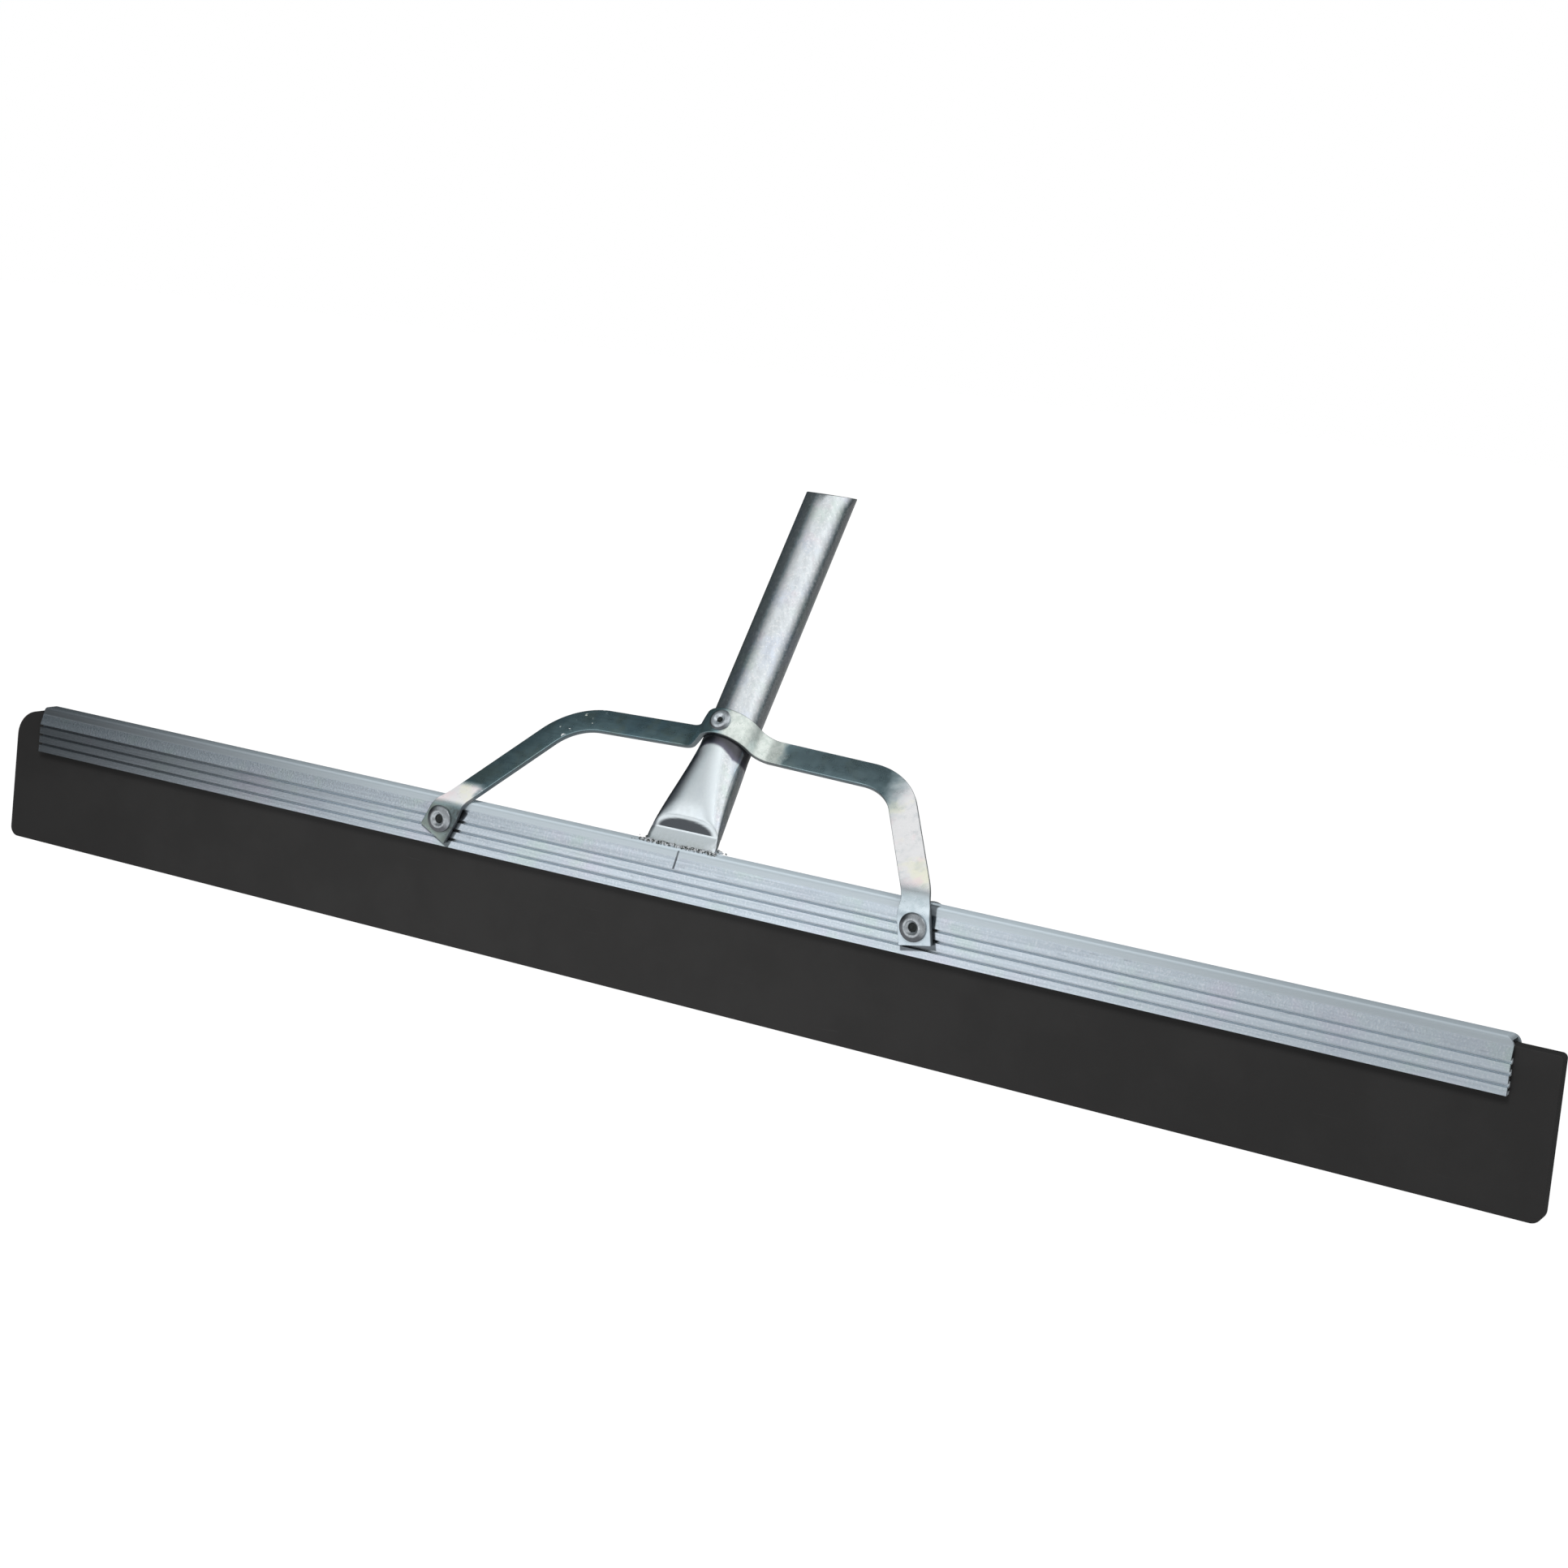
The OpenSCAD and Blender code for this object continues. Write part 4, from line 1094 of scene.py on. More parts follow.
class FlattenedTube:
    """The socket tube's shape: round above, pressed to a tab below, with a dent above the tab."""

    # The shape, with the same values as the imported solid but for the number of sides
    SIDES = 96
    DENT_SLOPE = 0.62
    REAR_SLOPE = 1.2
    FLARE_CURVE = 1.3
    SQUARENESS = 1.2
    LIP = 0.4 * MM
    CUT_STARTS, CUT_EASE = 24 * MM, 20 * MM

    # What is painted dark: painted shadow in an arch over the tab, and painted shade in a margin along the
    # left side
    DENT_HALF_WIDTH, DENT_HEIGHT = 14.6 * MM, 4.6 * MM
    SIDE_MARGIN_LOW, SIDE_MARGIN_HIGH = 2.6 * MM, 10 * MM

    def __init__(self, settings, layout):
        self.socket = settings.socket
        self.layout = layout

    def share(self, station):
        """How flat the tube is at a station, from 0 where it is round to 1 at the crest."""
        return 1 - clamp(station / self.socket.flare_length)

    def ring(self, station, thin):
        """Points round the tube, inside it by an amount, with their painted shadow in the dent and painted
        shade down the left side.
        """
        layout, socket = self.layout, self.socket
        share = self.share(station)
        wide = mix(layout.socket_r, layout.tab_half_width, share**self.FLARE_CURVE)
        left = 2 * layout.socket_r**layout.girth - wide**layout.girth
        deep = max(layout.tab_half, max(0.0, left) ** (1 / layout.girth)) - thin
        wide -= thin
        power = (2 - share * self.SQUARENESS) / 2
        above = max(0.0, station - socket.tab_height)
        front = layout.tab_shift + layout.tab_half + above * self.DENT_SLOPE - thin
        rear = layout.tab_shift - layout.tab_half - above * self.REAR_SLOPE + thin
        near_mouth = smooth(clamp((station - socket.length + self.CUT_STARTS) / self.CUT_EASE))
        slant = math.tan(socket.mouth_slant) * near_mouth
        rise = smooth(clamp((station - 5 * MM) / (14 * MM)))
        margin = mix(self.SIDE_MARGIN_LOW, self.SIDE_MARGIN_HIGH, rise)
        points, pressed, shadowed = [], [], []
        for j in range(self.SIDES):
            turn = -2 * math.pi * j / self.SIDES
            x = math.copysign(abs(math.cos(turn)) ** power, math.cos(turn)) * wide
            e = math.copysign(abs(math.sin(turn)) ** power, math.sin(turn)) * deep
            e += layout.tab_shift * smooth(share)
            held = max(rear, min(e, front))
            place = layout.on_tube(station - held * slant, held, x)
            if place.z < layout.crest_z:
                place += layout.tube_dir * (layout.crest_z - place.z) / layout.tube_dir.z
            points.append(place)
            # Painted shadow in an arch over the tab
            arch = 1 - (x / self.DENT_HALF_WIDTH) ** 2 - (above / self.DENT_HEIGHT) ** 2
            shaded = smooth(clamp(arch / 0.3))
            pressed.append(shaded if e > 0 and station > socket.tab_height + 0.05 * MM else 0.0)
            # Painted shade in a margin along the left side
            near_side = smooth(clamp(1.7 - 1.7 * (x + wide) / margin))
            shadowed.append(near_side * smooth(clamp(share * 6)) if e > 0 else 0.0)
        return points, pressed, shadowed

    def stations(self):
        """Station and thinning of each ring: up the outside, over the lip and down the bore."""
        socket, layout, lip = self.socket, self.layout, self.LIP
        low, tab, flare = -layout.tab_shift, socket.tab_height, socket.flare_length
        top = socket.length - lip
        bend = tab + 0.1 * MM
        bore = layout.socket_r - socket.bore / 2
        floor = socket.length - socket.reach
        outside = [low, *between(low, tab, 8), bend, *between(bend, flare, 64), *between(flare, top, 24)]
        rows = [(station, 0.0) for station in outside]
        rows += [(top + lip * math.sin(turn), lip * (1 - math.cos(turn))) for turn in quarter(4)[1:]]
        rows += [(top + lip * math.cos(turn), bore - lip * (1 - math.sin(turn))) for turn in quarter(4)]
        rows += [(floor, bore), (floor, socket.wall), (flare, socket.wall)]
        rows += [(station, socket.wall) for station in between(flare, tab + 10 * MM, 10)]
        return rows

    def flatness(self, ring):
        """How squarely each point of a ring faces the front."""
        front, found = self.layout.tube_front, []
        middle = sum((p.dot(front) for p in ring), 0.0) / len(ring)
        for j, p in enumerate(ring):
            along = ring[(j + 1) % len(ring)] - ring[j - 1]
            facing = abs(along.x) / max(along.length, 1e-9)
            found.append(smooth(clamp((facing - 0.80) / 0.18)) if p.dot(front) > middle else 0.0)
        return found

    def mesh(self):
        """The whole tube, with what its paint reads at each point."""
        made = [self.ring(station, thin) for station, thin in self.stations()]
        points, faces = loft([made_ring[0] for made_ring in made])
        marks = {
            "pressed": [value for _, row, _ in made for value in row],
            "shadowed": [value for _, _, row in made for value in row],
            "flattened": [value for ring, _, _ in made for value in self.flatness(ring)],
        }
        return closed_mesh("socket_tube_skin", points, faces, sharp=38, **marks)


class SQUEEGEE_OT_socket(bpy.types.Operator):
    """Adds the socket tube with its flattened end"""

    bl_idname = "squeegee.add_socket"
    bl_label = "Add socket tube"

    def execute(self, context):
        settings, layout = plan(context)
        mesh = FlattenedTube(settings, layout).mesh()
        piece = add_piece("socket_tube_skin", mesh, tube_zinc(settings, layout))
        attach(piece, BODY)
        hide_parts("socket_tube")
        return {"FINISHED"}


class BentBar:
    """The brace: one flat bar bent in its own plane, folded over the crest and wrapped round the tube."""

    BEND_STEPS = 28
    WRAP_STEPS = 24
    RAMP_STEPS = 8
    SHOULDER_STEPS = 16
    PATH_STEP = 1.4 * MM
    RIM_STARTS, RIM_EASE = 0.945, 0.045

    def __init__(self, settings, layout):
        self.brace = settings.brace
        self.layout = layout
        self.edge = self.brace.edge
        arm_mid = layout.fold_point + layout.slope_dir * (self.brace.arm_reach + self.brace.arm_rise)
        arm_mid -= layout.tube_foot
        self.arm_depth = arm_mid.dot(layout.tube_front)
        self.arm_station = arm_mid.dot(layout.tube_dir)

    def section(self, width, shrink=0.0):
        """The bar's rounded section: distance across its width and out of its plane."""
        half_width = width / 2 - shrink
        half_thick = self.brace.thickness / 2 - shrink
        edge = self.edge
        points = []
        for sx, sy, start in ((-1, -1, 180), (1, -1, 270), (1, 1, 0), (-1, 1, 90)):
            u, v = sx * (half_width - edge), sy * (half_thick - edge)
            for turn in quarter(4):
                angle = math.radians(start) + turn
                points.append((u + edge * math.cos(angle), v + edge * math.sin(angle)))
        return points

    def sheet_point(self, x, h, off):
        """A point of the folded sheet from its place in the flat pattern."""
        layout = self.layout
        if h >= layout.fold_tangent:
            return layout.fold_point + Vector((x, 0, 0)) + layout.slope_dir * h + layout.slope_normal * off
        if h <= -layout.fold_tangent:
            return layout.fold_point + Vector((x, -off, h))
        turn = layout.fold_turn * (h + layout.fold_tangent) / (2 * layout.fold_tangent)
        r = layout.fold_mid_radius + off
        y = layout.foot_mid_y + layout.fold_mid_radius - r * math.cos(turn)
        return Vector((x, y, layout.fold_z - layout.fold_tangent + r * math.sin(turn)))

    def bar_ring(self, x, h, heading, shrink=0.0):
        """Points round the bar at a place and heading of the flat pattern; it widens into the foot."""
        brace = self.brace
        side = (-math.sin(heading), math.cos(heading))
        spread = smooth(clamp((brace.ankle_height - h) / brace.foot_spread))
        width = mix(brace.width, brace.foot_width, spread)
        section = self.section(width, shrink)
        return [self.sheet_point(x + side[0] * u, h + side[1] * u, v) for u, v in section]

    def wrap_ring(self, x, depth, turn, twist, run):
        """Points round the bar by the tube, turned and twisted by shares of its run to the arm."""
        layout = self.layout
        angle = mix(layout.tube_rise, self.brace.slope, smooth(twist))
        normal = Vector((math.sin(turn), 0, 0)) + layout.across(angle) * math.cos(turn)
        station = mix(self.brace.wrap_station, self.arm_station, smooth(run))
        middle = layout.on_tube(station, depth, x)
        return [middle + layout.along(angle) * u + normal * v for u, v in self.section(self.brace.width)]

    def pattern_stations(self, corners, radii, step):
        """Places and headings along a line with rounded corners, no further apart than a step."""
        found = []
        here = Vector(corners[0])
        for k in range(1, len(corners) - 1):
            a, b, c = Vector(corners[k - 1]), Vector(corners[k]), Vector(corners[k + 1])
            h0 = math.atan2(b.y - a.y, b.x - a.x)
            h1 = math.atan2(c.y - b.y, c.x - b.x)
            radius = radii[k - 1]
            reach = radius * math.tan(abs(h1 - h0) / 2)
            start = b - Vector((math.cos(h0), math.sin(h0))) * reach
            count = max(1, math.ceil((start - here).length / step))
            found += [(*here.lerp(start, i / count), h0) for i in range(count)]
            side = math.copysign(1, h1 - h0)
            centre = start + Vector((-math.sin(h0), math.cos(h0))) * side * radius
            for i in range(self.BEND_STEPS + 1):
                h = mix(h0, h1, i / self.BEND_STEPS)
                x, y = centre.x + side * radius * math.sin(h), centre.y - side * radius * math.cos(h)
                found.append((x, y, h))
            here = b + Vector((math.cos(h1), math.sin(h1))) * reach
        last = Vector(corners[-1])
        count = max(1, math.ceil((last - here).length / step))
        return found + [(*here.lerp(last, i / count), h1) for i in range(1, count)]

    def wrap_rings(self, wrap):
        """Rings from the middle of the wrap out to the start of an arm, and where that arm starts."""
        radius, bend = self.layout.wrap_mid_radius, self.brace.shoulder_radius
        drop = bend * (1 - math.cos(wrap))
        ramp = (radius * math.cos(wrap) - drop - self.arm_depth) / math.sin(wrap)
        ramp_x = radius * math.sin(wrap) + ramp * math.cos(wrap)
        wrapped = radius * wrap
        whole = wrapped + ramp + bend * wrap
        rings = []
        for i in range(self.WRAP_STEPS + 1):
            a = wrap * i / self.WRAP_STEPS
            x, depth = radius * math.sin(a), radius * math.cos(a)
            rings.append(self.wrap_ring(x, depth, a, 0, radius * a / whole))
        for i in range(1, self.RAMP_STEPS + 1):
            q = ramp * i / self.RAMP_STEPS
            x = radius * math.sin(wrap) + q * math.cos(wrap)
            depth = radius * math.cos(wrap) - q * math.sin(wrap)
            rings.append(self.wrap_ring(x, depth, wrap, i / self.RAMP_STEPS / 2, (wrapped + q) / whole))
        for i in range(1, self.SHOULDER_STEPS + 1):
            done = i / self.SHOULDER_STEPS
            a = wrap * (1 - done)
            x = ramp_x + bend * (math.sin(wrap) - math.sin(a))
            depth = self.arm_depth + bend * (1 - math.cos(a))
            rings.append(self.wrap_ring(x, depth, a, (1 + done) / 2, 1 - bend * a / whole))
        return rings, ramp_x + bend * math.sin(wrap)

    def half_rings(self, wrap, splay):
        """Rings from the middle of the wrap out to the end of a right foot with the given tilt."""
        brace, layout = self.brace, self.layout
        rivet_h = layout.foot_rivet_z - layout.fold_z
        end_h = rivet_h - brace.foot_tail
        line_x = brace.foot_half_span + rivet_h * math.tan(splay)
        ankle = (line_x - brace.ankle_height * math.tan(splay), brace.ankle_height)
        foot_end = (line_x - end_h * math.tan(splay), end_h)
        rings, shoulder_x = self.wrap_rings(wrap)
        shoulder = (shoulder_x, brace.arm_reach + brace.arm_rise)
        corner = (brace.corner_half_span, brace.arm_reach)
        corners, radii = [shoulder, corner, ankle, foot_end], [brace.corner_radius, brace.ankle_radius]
        path = self.pattern_stations(corners, radii, self.PATH_STEP)
        rings += [self.bar_ring(*place) for place in path[1:]]
        heading = path[-1][2]
        away = Vector((math.cos(heading), math.sin(heading)))
        rounding = self.edge * 0.6
        for turn in quarter(4):
            end = Vector(foot_end) - away * rounding * (1 - math.sin(turn))
            rings.append(self.bar_ring(end.x, end.y, heading, rounding * (1 - math.cos(turn))))
        return rings

    def mesh(self):
        """The whole bar, its left half made as a right one and mirrored."""
        brace = self.brace
        right = self.half_rings(brace.right_wrap, brace.right_splay)
        left = self.half_rings(brace.left_wrap, brace.left_splay)[:0:-1]
        rings = [[Vector((-p.x, p.y, p.z)) for p in ring] for ring in left] + right
        across = [abs(u) / (brace.width / 2) for u, _ in self.section(brace.width)]
        rim = [smooth(clamp((u - self.RIM_STARTS) / self.RIM_EASE)) for u in across] * len(rings)
        return closed_mesh("brace_skin", *loft(rings), sharp=50, rim=rim)


class SQUEEGEE_OT_brace(bpy.types.Operator):
    """Adds the bent flat bar that braces the tube"""

    bl_idname = "squeegee.add_brace"
    bl_label = "Add brace"

    def execute(self, context):
        settings, layout = plan(context)
        piece = add_piece("brace_skin", BentBar(settings, layout).mesh(), strap_zinc(settings, layout))
        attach(piece, BODY)
        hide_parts("brace_strap")
        return {"FINISHED"}


# Widths of a flange's dish and crown past its pin, and a blind end's radius for a body one wide
DISH_RIM = 0.8 * MM
CROWN_RIM = 0.4 * MM
BLIND_SWELL = 0.68
BLIND_STEPS = 12
PIN_HEAD = 1.8 * MM
# How much lighter the socket rivet's steel is painted, as painted light
SOCKET_RIVET_PAINTED_LIGHT = 1.6


def flange_outline(flange, height, skirt, pin):
    """Half section of a domed flange with a dished middle, above its seat at zero."""
    dish = pin / 2 + DISH_RIM
    crown = dish + CROWN_RIM
    rim = height / 3
    outline = [(pin / 2, skirt), (pin / 2, -height * 0.45), (mix(pin / 2, dish, 0.35), -height * 0.6)]
    outline += [(dish, -height * 0.8), (mix(dish, crown, 0.4), -height * 0.95), (crown, -height)]
    for turn in reversed(quarter(12)[:-1]):
        x = mix(crown, flange / 2, math.cos(turn))
        outline.append((x, -rim - (height - rim) * math.sin(turn)))
    return outline + [(flange / 2, -rim * 0.5), (flange / 2 - rim * 0.2, skirt)]


def body_outline(body, grip, blind, pin):
    """Half section of a rivet's hollow body and its swollen blind end."""
    swell = body * BLIND_SWELL
    outline = [(pin / 2, 0), (body / 2, 0), (body / 2, grip)]
    for k in range(1, BLIND_STEPS):
        bulge = math.sin(math.pi * k / BLIND_STEPS) ** 0.6
        outline.append((mix(body / 2, swell, bulge), grip + blind * k / BLIND_STEPS))
    return outline + [(body / 2, grip + blind), (pin / 2, grip + blind)]


def pin_outline(pin, body, grip, blind, start):
    """Half section of a broken-off pin, from its broken end to its head."""
    shank, end = pin / 2 - PIN_PLAY, grip + blind + PIN_PLAY
    outline = [(0, start + 0.25 * MM), (shank * 0.5, start + 0.1 * MM)]
    outline += [(shank * 0.85, start), (shank, start + 0.2 * MM)]
    outline += [(shank, end), (body / 2, end), (body / 2, end + PIN_HEAD * 0.5)]
    for turn in quarter(5)[1:-1]:
        outline.append((body / 2 * math.cos(turn), end + PIN_HEAD * (0.5 + 0.5 * math.sin(turn))))
    return outline + [(0, end + PIN_HEAD)]


def rivet_outlines(body, flange, height, skirt, pin, recess, grip, blind):
    """Half sections of a rivet's flange, its body and its pin."""
    return (
        flange_outline(flange, height, skirt, pin),
        body_outline(body, grip, blind, pin),
        pin_outline(pin, body, grip, blind, recess - height),
    )


def washer_outline(hole, diameter, thickness):
    """Half section of a washer with rounded outer edges."""
    outer, edge = diameter / 2, 0.15 * MM
    outline = [(hole, 0), (outer - edge, 0), (outer, edge)]
    return outline + [(outer, thickness - edge), (outer - edge, thickness), (hole, thickness)]


def turned(context, name, *outlines):
    """An object of one or more outlines turned about Z, to be set on seats by the fastener tree.

    Its points carry their distance from the axis and how far they lie towards the lower left.
    """
    points, faces = [], []
    for outline in outlines:
        more, skin = lathe(outline)
        faces += [tuple(index + len(points) for index in face) for face in skin]
        points += more
    reach = [math.hypot(p.x, p.y) for p in points]
    low = [(p.y - p.x) / max(r, 1e-6) / math.sqrt(2) for p, r in zip(points, reach)]
    thing = bpy.data.objects.new(name, closed_mesh(name, points, faces, reach=reach, low=low))
    context.scene.collection.objects.link(thing)
    return thing


def set_fasteners(name, fastener, seats, first, step, turn, material, nodes):
    """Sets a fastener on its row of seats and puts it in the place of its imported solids."""
    values = {"Fastener": fastener, "Seats": seats, "First seat": first, "Step": step, "Turn": turn}
    values["Material"] = material
    piece = fastener_row_tree().grow(name, bpy.data.meshes.new(name + "_seats"), values)
    bpy.data.objects.remove(fastener)
    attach(piece, BODY)
    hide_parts(*nodes)


class SQUEEGEE_OT_foot_rivets(bpy.types.Operator):
    """Adds the two foot rivets, their pins and the washers behind the channel"""

    bl_idname = "squeegee.add_foot_rivets"
    bl_label = "Add foot rivets"

    def execute(self, context):
        settings, layout = plan(context)
        sizes = settings.rivets
        span = settings.brace.foot_half_span
        first, step = (-span, layout.foot_seat_y, layout.foot_rivet_z), (2 * span, 0, 0)
        head = (sizes.foot_body, sizes.foot_flange, sizes.foot_height, 0, sizes.foot_pin, sizes.foot_recess)
        flange, body, pin = rivet_outlines(*head, layout.foot_grip, sizes.foot_blind)
        hole = sizes.foot_body / 2 + RIVET_CLEARANCE
        washer = washer_outline(hole, sizes.washer, sizes.washer_thickness)
        steel = rivet_steel("foot_rivet_steel", settings.colours.rivet)
        behind = (-span, layout.washer_face_y, layout.foot_rivet_z)
        rows = (
            ("foot_rivet", turned(context, "rivet", flange, body), first, steel, "rivet_steel"),
            ("foot_rivet_pin", turned(context, "pin", pin), first, pin_steel(settings), "dark_pin_steel"),
            ("backing_washer", turned(context, "washer", washer), behind, steel, "rivet_steel"),
        )
        for name, fastener, seat, material, slot in rows:
            nodes = (name + "_left", name + "_right")
            set_fasteners(name + "s", fastener, 2, seat, step, -math.pi / 2, material, nodes)
        return {"FINISHED"}


class SQUEEGEE_OT_socket_rivet(bpy.types.Operator):
    """Adds the rivet that holds the brace to the tube, with its pin"""

    bl_idname = "squeegee.add_socket_rivet"
    bl_label = "Add socket rivet"

    def execute(self, context):
        settings, layout = plan(context)
        sizes = settings.rivets
        seat = layout.on_tube(settings.brace.wrap_station, layout.socket_seat)
        reach = layout.socket_seat
        saddle = reach - math.sqrt(reach**2 - (sizes.socket_flange / 2) ** 2)
        head = (sizes.socket_body, sizes.socket_flange, sizes.socket_height, saddle)
        head += (sizes.socket_pin, sizes.socket_recess)
        flange, body, pin = rivet_outlines(*head, layout.socket_grip, sizes.socket_blind)
        inward = -math.pi / 2 - settings.socket.lean
        # The socket rivet's steel is the foot rivets' steel painted lighter, as painted light
        steel = rivet_steel("socket_rivet_steel", shade(settings.colours.rivet, SOCKET_RIVET_PAINTED_LIGHT)[:3])
        rows = (
            ("socket_rivet", turned(context, "rivet", flange, body), steel, "rivet_steel"),
            ("socket_rivet_pin", turned(context, "pin", pin), pin_steel(settings), "dark_pin_steel"),
        )
        for name, fastener, material, slot in rows:
            set_fasteners(name + "_skin", fastener, 1, seat, (0, 0, 0), inward, material, (name,))
        return {"FINISHED"}


class SQUEEGEE_OT_welds(bpy.types.Operator):
    """Adds the uneven weld beads that join the tab to the crest"""

    bl_idname = "squeegee.add_welds"
    bl_label = "Add weld beads"

    def execute(self, context):
        settings, layout = plan(context)
        welds, socket = settings.welds, settings.socket
        tree = weld_bead_tree()
        material = weld_metal(settings)
        half = layout.tab_half_width + welds.run_out
        foot = layout.tab_half / math.cos(socket.lean)
        radius = welds.leg * 0.40
        inward, outward = 0.8 * MM, 1.9 * MM
        for side, node in ((-1, "weld_bead_front"), (1, "weld_bead_rear")):
            y = socket.tab_back + side * (foot + radius * 0.9) + 0.3 * MM
            z = layout.crest_z + radius * 0.5
            reach = (-side * inward, side * outward)
            low = (-4 * MM, min(reach), -radius * 0.45)
            high = (2 * MM, max(reach), radius * 0.15)
            values = {
                "Start": (-half, y, z),
                "End": (half, y, z),
                "Bead radius": radius,
                "Lumps": welds.lump,
                "Spatter low": low,
                "Spatter high": high,
                "Drops": welds.grains,
                "Drop radius": welds.grain,
                "Seed": welds.seed + side,
                "Material": material,
            }
            piece = tree.grow(node + "_skin", bpy.data.meshes.new(node + "_base"), values, sharp=60)
            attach(piece, BODY)
            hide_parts(node)
        return {"FINISHED"}


# Stage


# The camera was fitted to the photograph; the sky's middle lies in its direction
CAMERA_PLACE = (0.6140, -1.0175, 0.3137)
CAMERA_RIGHT = (0.8597, 0.5004, 0.1020)
CAMERA_UP = (-0.1413, 0.0411, 0.9891)
SENSOR_WIDTH = 36.0
SKY_AHEAD = (0.614, -1.0175, 0.19)
SKY_TINT = (0.55, 0.9, 1.0, 1.0)
FLOOR_GLOW = 1.09
FLOOR_GLOW_SHARE = 0.91
FLOOR_DROP = 0.0002
KEY_PLACE = (0.25, -1.05, 1.15)
KEY_SIZE = 0.45
LAMP_AIM = (0, 0, 0.08)


def add_camera(stage):
    """The camera at the place and turn that the photograph was taken from."""
    camera = bpy.data.objects.new("camera", bpy.data.cameras.new("camera"))
    bpy.context.scene.collection.objects.link(camera)
    right, up = Vector(CAMERA_RIGHT), Vector(CAMERA_UP)
    turn = Matrix((right, up, right.cross(up))).transposed().to_4x4()
    camera.matrix_world = Matrix.Translation(Vector(CAMERA_PLACE)) @ turn
    camera.data.sensor_width = SENSOR_WIDTH
    camera.data.lens = stage.lens
    camera.data.shift_y = stage.shift
    bpy.context.scene.camera = camera


def sky_patch(wiring, turn, height):
    """How lit the sky is, by its turn about the tube's axis and its height along it."""

    def facing(turned, low, high, to_low=0.0, to_high=1.0):
        """A share that changes between two turns, in degrees."""
        return wiring.span(turned, math.radians(low), math.radians(high), to_low, to_high)

    rise = facing(turn, -88, -22)
    peak = facing(turn, 0, 34, 0.84, 1.0)
    late = wiring.minus(turn, wiring.span(height, 0.36, 0.54, 0.0, math.radians(25)))
    upper = wiring.times(rise, wiring.times(peak, facing(late, 30, 92, 1.0, 0.0)))
    lift = facing(turn, -40, 10, 0.0, -0.42)
    upper = wiring.times(upper, wiring.span(wiring.plus(height, lift), 0.42, 0.58, 1.0, 0.0))
    lower = wiring.times(facing(turn, -79, -63), facing(turn, -60, -46, 1.0, 0.385))
    return wiring.span(wiring.span(height, 0.06, 0.14), 0.0, 1.0, lower, upper, soft=False)


def studio_sky(settings):
    """White behind the object; around it, a light in front of the tube that fades on both sides."""
    world = bpy.data.worlds.new("studio")
    bpy.context.scene.world = world
    world.use_nodes = True
    wiring = Wiring(world.node_tree)
    output = world.node_tree.nodes["World Output"]
    light = world.node_tree.nodes["Background"]
    place = wiring.add("ShaderNodeTexCoord").outputs["Generated"]
    axis = Layout.along(math.pi / 2 - settings.socket.lean)
    ahead = Vector(SKY_AHEAD)
    ahead = (ahead - axis * ahead.dot(axis)).normalized()
    height, forward, aside = (wiring.dot(place, way) for way in (axis, ahead, axis.cross(ahead)))
    patch = sky_patch(wiring, wiring.maths("ARCTAN2", aside, forward), height)
    strength = wiring.span(patch, 0.0, 1.0, settings.stage.dusk, settings.stage.sky, soft=False)
    wiring.join(strength, light.inputs["Strength"])
    wiring.join(wiring.blend(wiring.span(patch, 0.0, 0.3), SKY_TINT, WHITE), light.inputs["Color"])
    white = wiring.add("ShaderNodeBackground", {"Color": WHITE, "Strength": 1.0})
    seen = wiring.add("ShaderNodeLightPath").outputs["Is Camera Ray"]
    wiring.join(wiring.mixed(seen, light.outputs[0], white.outputs[0]), output.inputs["Surface"])


def floor_paint(settings):
    """A pale floor that keeps a faint shadow, and that metal sees as a lit pool fading to the left."""
    material = bpy.data.materials.new("floor_paint")
    material.use_nodes = True
    wiring = Wiring(material.node_tree)
    wiring.tree.nodes.remove(wiring.tree.nodes["Principled BSDF"])
    output = wiring.tree.nodes["Material Output"]
    place = wiring.add("ShaderNodeTexCoord").outputs["Object"]
    x, y, _ = wiring.add("ShaderNodeSeparateXYZ", {0: place}).outputs
    rise = wiring.span(x, -0.60, -0.12, 0.03, 0.66)
    fall = wiring.span(x, 0.0, 0.27, 1.0, 0.59)
    front = wiring.span(y, -0.05, 0.25, 1.0, 0.2)
    pool = wiring.times(wiring.times(wiring.times(rise, fall), front), settings.stage.pool)
    lit = wiring.add("ShaderNodeEmission", {"Color": WHITE, "Strength": pool})
    paint = wiring.add("ShaderNodeBsdfDiffuse", {"Color": shade(settings.colours.floor, 1.0)})
    glow = wiring.add("ShaderNodeEmission", {"Color": WHITE, "Strength": FLOOR_GLOW})
    shown = wiring.mixed(FLOOR_GLOW_SHARE, paint.outputs[0], glow.outputs[0])
    seen = wiring.add("ShaderNodeLightPath").outputs["Is Camera Ray"]
    wiring.join(wiring.mixed(seen, lit.outputs[0], shown), output.inputs["Surface"])
    return material


def add_lamp(name, place, size, power):
    """A square lamp that faces the object."""
    lamp = bpy.data.objects.new(name, bpy.data.lights.new(name, "AREA"))
    bpy.context.scene.collection.objects.link(lamp)
    lamp.location = place
    lamp.rotation_mode = "QUATERNION"
    lamp.rotation_quaternion = (Vector(LAMP_AIM) - Vector(place)).to_track_quat("-Z", "Y")
    lamp.data.shape = "SQUARE"
    lamp.data.size = size
    lamp.data.energy = power
    lamp.visible_glossy = False


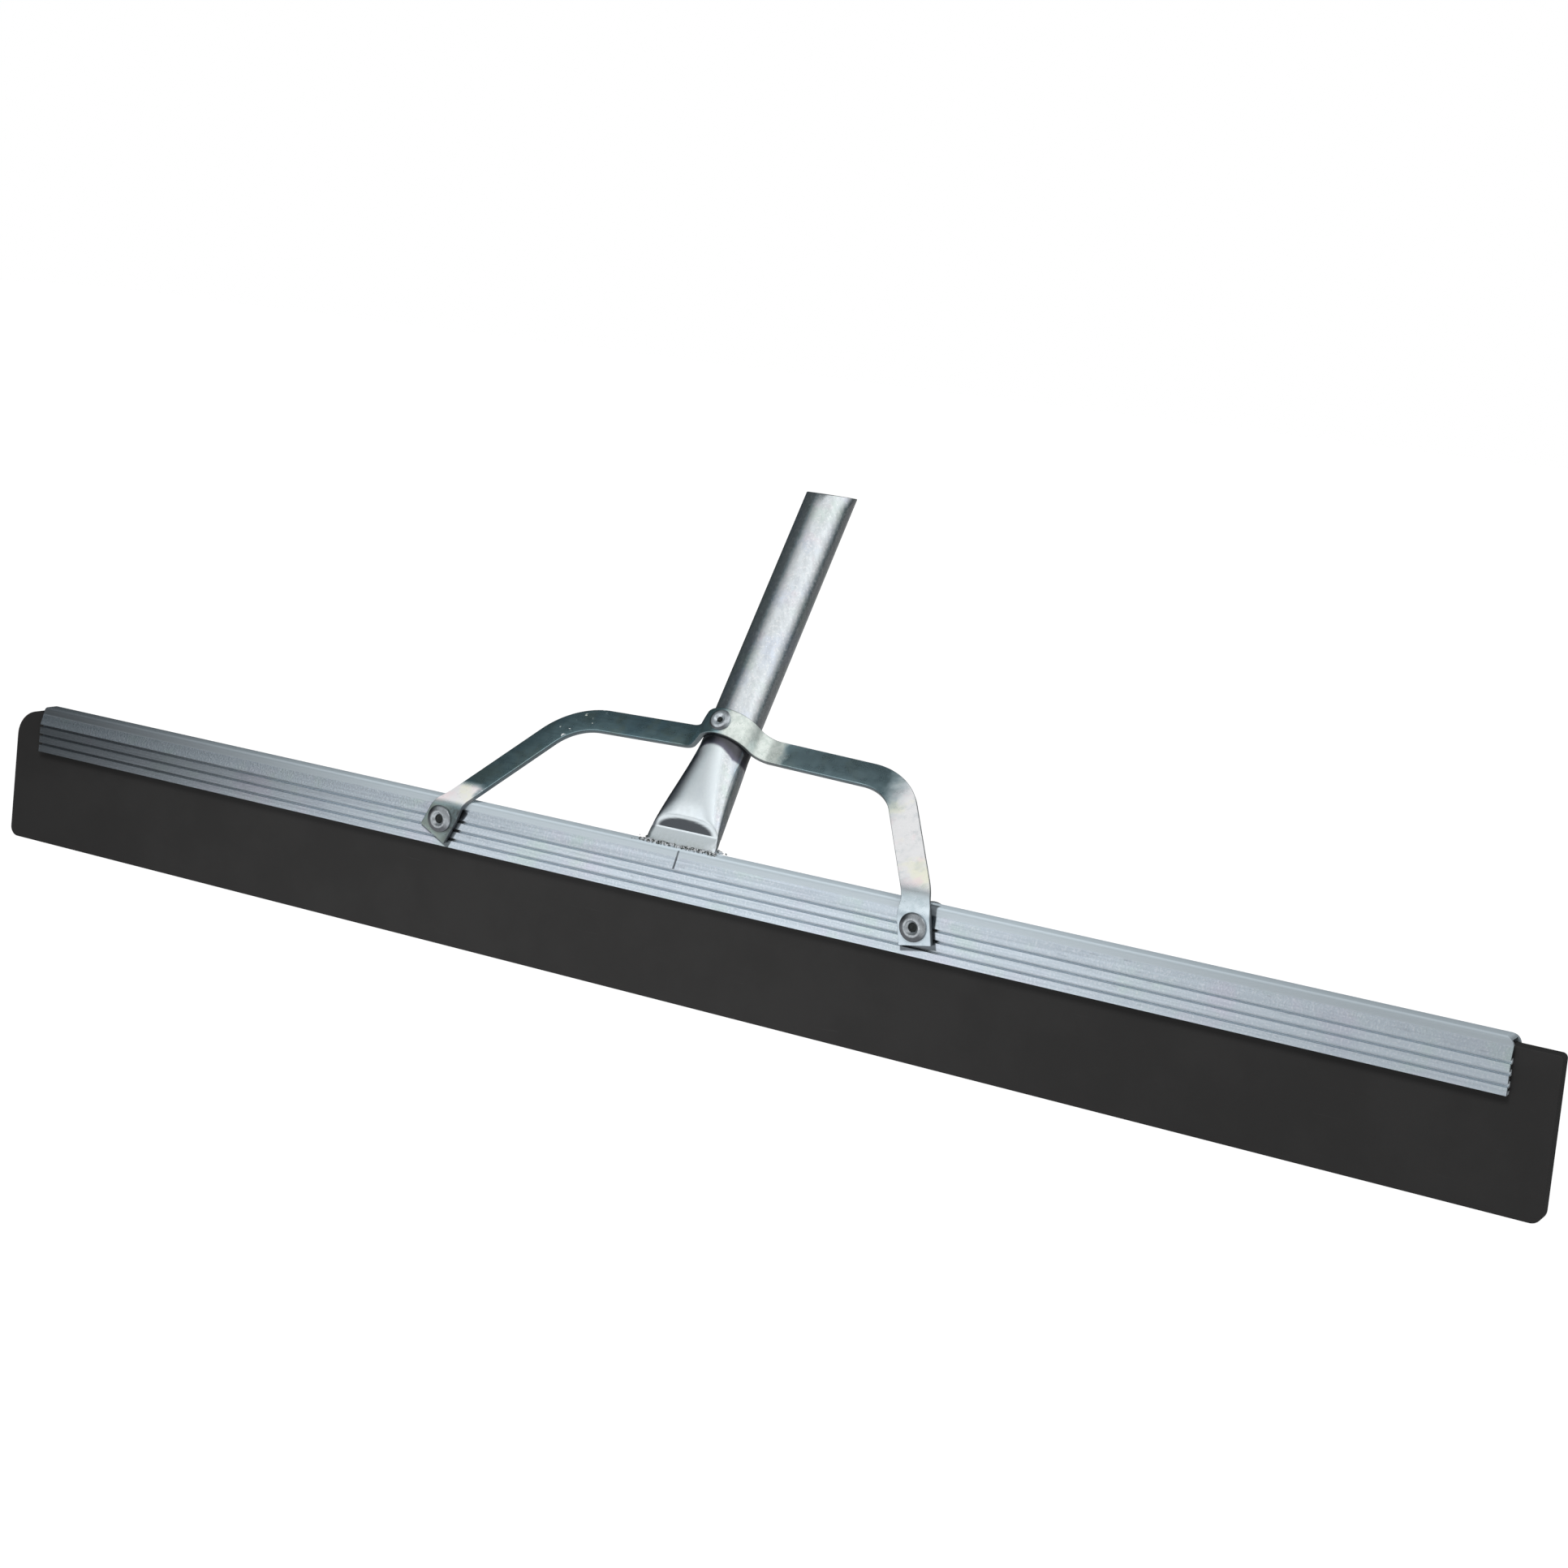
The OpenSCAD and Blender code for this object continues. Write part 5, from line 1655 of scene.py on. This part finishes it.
class SQUEEGEE_OT_stage(bpy.types.Operator):
    """Adds the floor, the sky, the lamp and the camera"""

    bl_idname = "squeegee.add_stage"
    bl_label = "Add stage"

    def execute(self, context):
        settings = context.scene.squeegee
        half = settings.stage.floor_half
        corners = ((-half, -half), (half, -half), (half, half), (-half, half))
        mesh = bpy.data.meshes.new("floor")
        mesh.from_pydata([(x, y, -FLOOR_DROP) for x, y in corners], [], [(0, 1, 2, 3)])
        floor = add_piece("floor", mesh, floor_paint(settings))
        studio_sky(settings)
        add_lamp("key", KEY_PLACE, KEY_SIZE, settings.stage.key_power)
        add_camera(settings.stage)
        context.scene.view_settings.view_transform = "Standard"
        return {"FINISHED"}


# Panel and registration


OPERATORS = (
    SQUEEGEE_OT_stage,
    SQUEEGEE_OT_channel,
    SQUEEGEE_OT_blade,
    SQUEEGEE_OT_socket,
    SQUEEGEE_OT_brace,
    SQUEEGEE_OT_foot_rivets,
    SQUEEGEE_OT_socket_rivet,
    SQUEEGEE_OT_welds,
)


class SQUEEGEE_PT_sidebar(bpy.types.Panel):
    """Lists the pieces of the squeegee and their sizes"""

    bl_idname = "SQUEEGEE_PT_sidebar"
    bl_label = "Floor Squeegee"
    bl_space_type = "VIEW_3D"
    bl_region_type = "UI"
    bl_category = "Squeegee"

    def draw(self, context):
        for operator in OPERATORS:
            self.layout.operator(operator.bl_idname)
        settings = context.scene.squeegee
        for label in ("blade", "channel", "socket", "brace", "rivets", "welds", "colours", "stage"):
            box = self.layout.box()
            box.label(text=label.capitalize())
            group = getattr(settings, label)
            for name in group.__annotations__:
                box.prop(group, name)


GROUPS = (
    BladeSizes,
    ChannelSizes,
    SocketSizes,
    BraceSizes,
    RivetSizes,
    WeldSizes,
    FinishColours,
    StageSizes,
    SqueegeeSettings,
)

CLASSES = (*GROUPS, *OPERATORS, SQUEEGEE_PT_sidebar)


def register():
    for made in CLASSES:
        bpy.utils.register_class(made)
    bpy.types.Scene.squeegee = PointerProperty(type=SqueegeeSettings)


def unregister():
    del bpy.types.Scene.squeegee
    for made in reversed(CLASSES):
        bpy.utils.unregister_class(made)


def main():
    register()
    bpy.ops.squeegee.add_stage()
    bpy.ops.squeegee.add_channel()
    bpy.ops.squeegee.add_blade()
    bpy.ops.squeegee.add_socket()
    bpy.ops.squeegee.add_brace()
    bpy.ops.squeegee.add_foot_rivets()
    bpy.ops.squeegee.add_socket_rivet()
    bpy.ops.squeegee.add_welds()


if __name__ == "__main__":
    main()
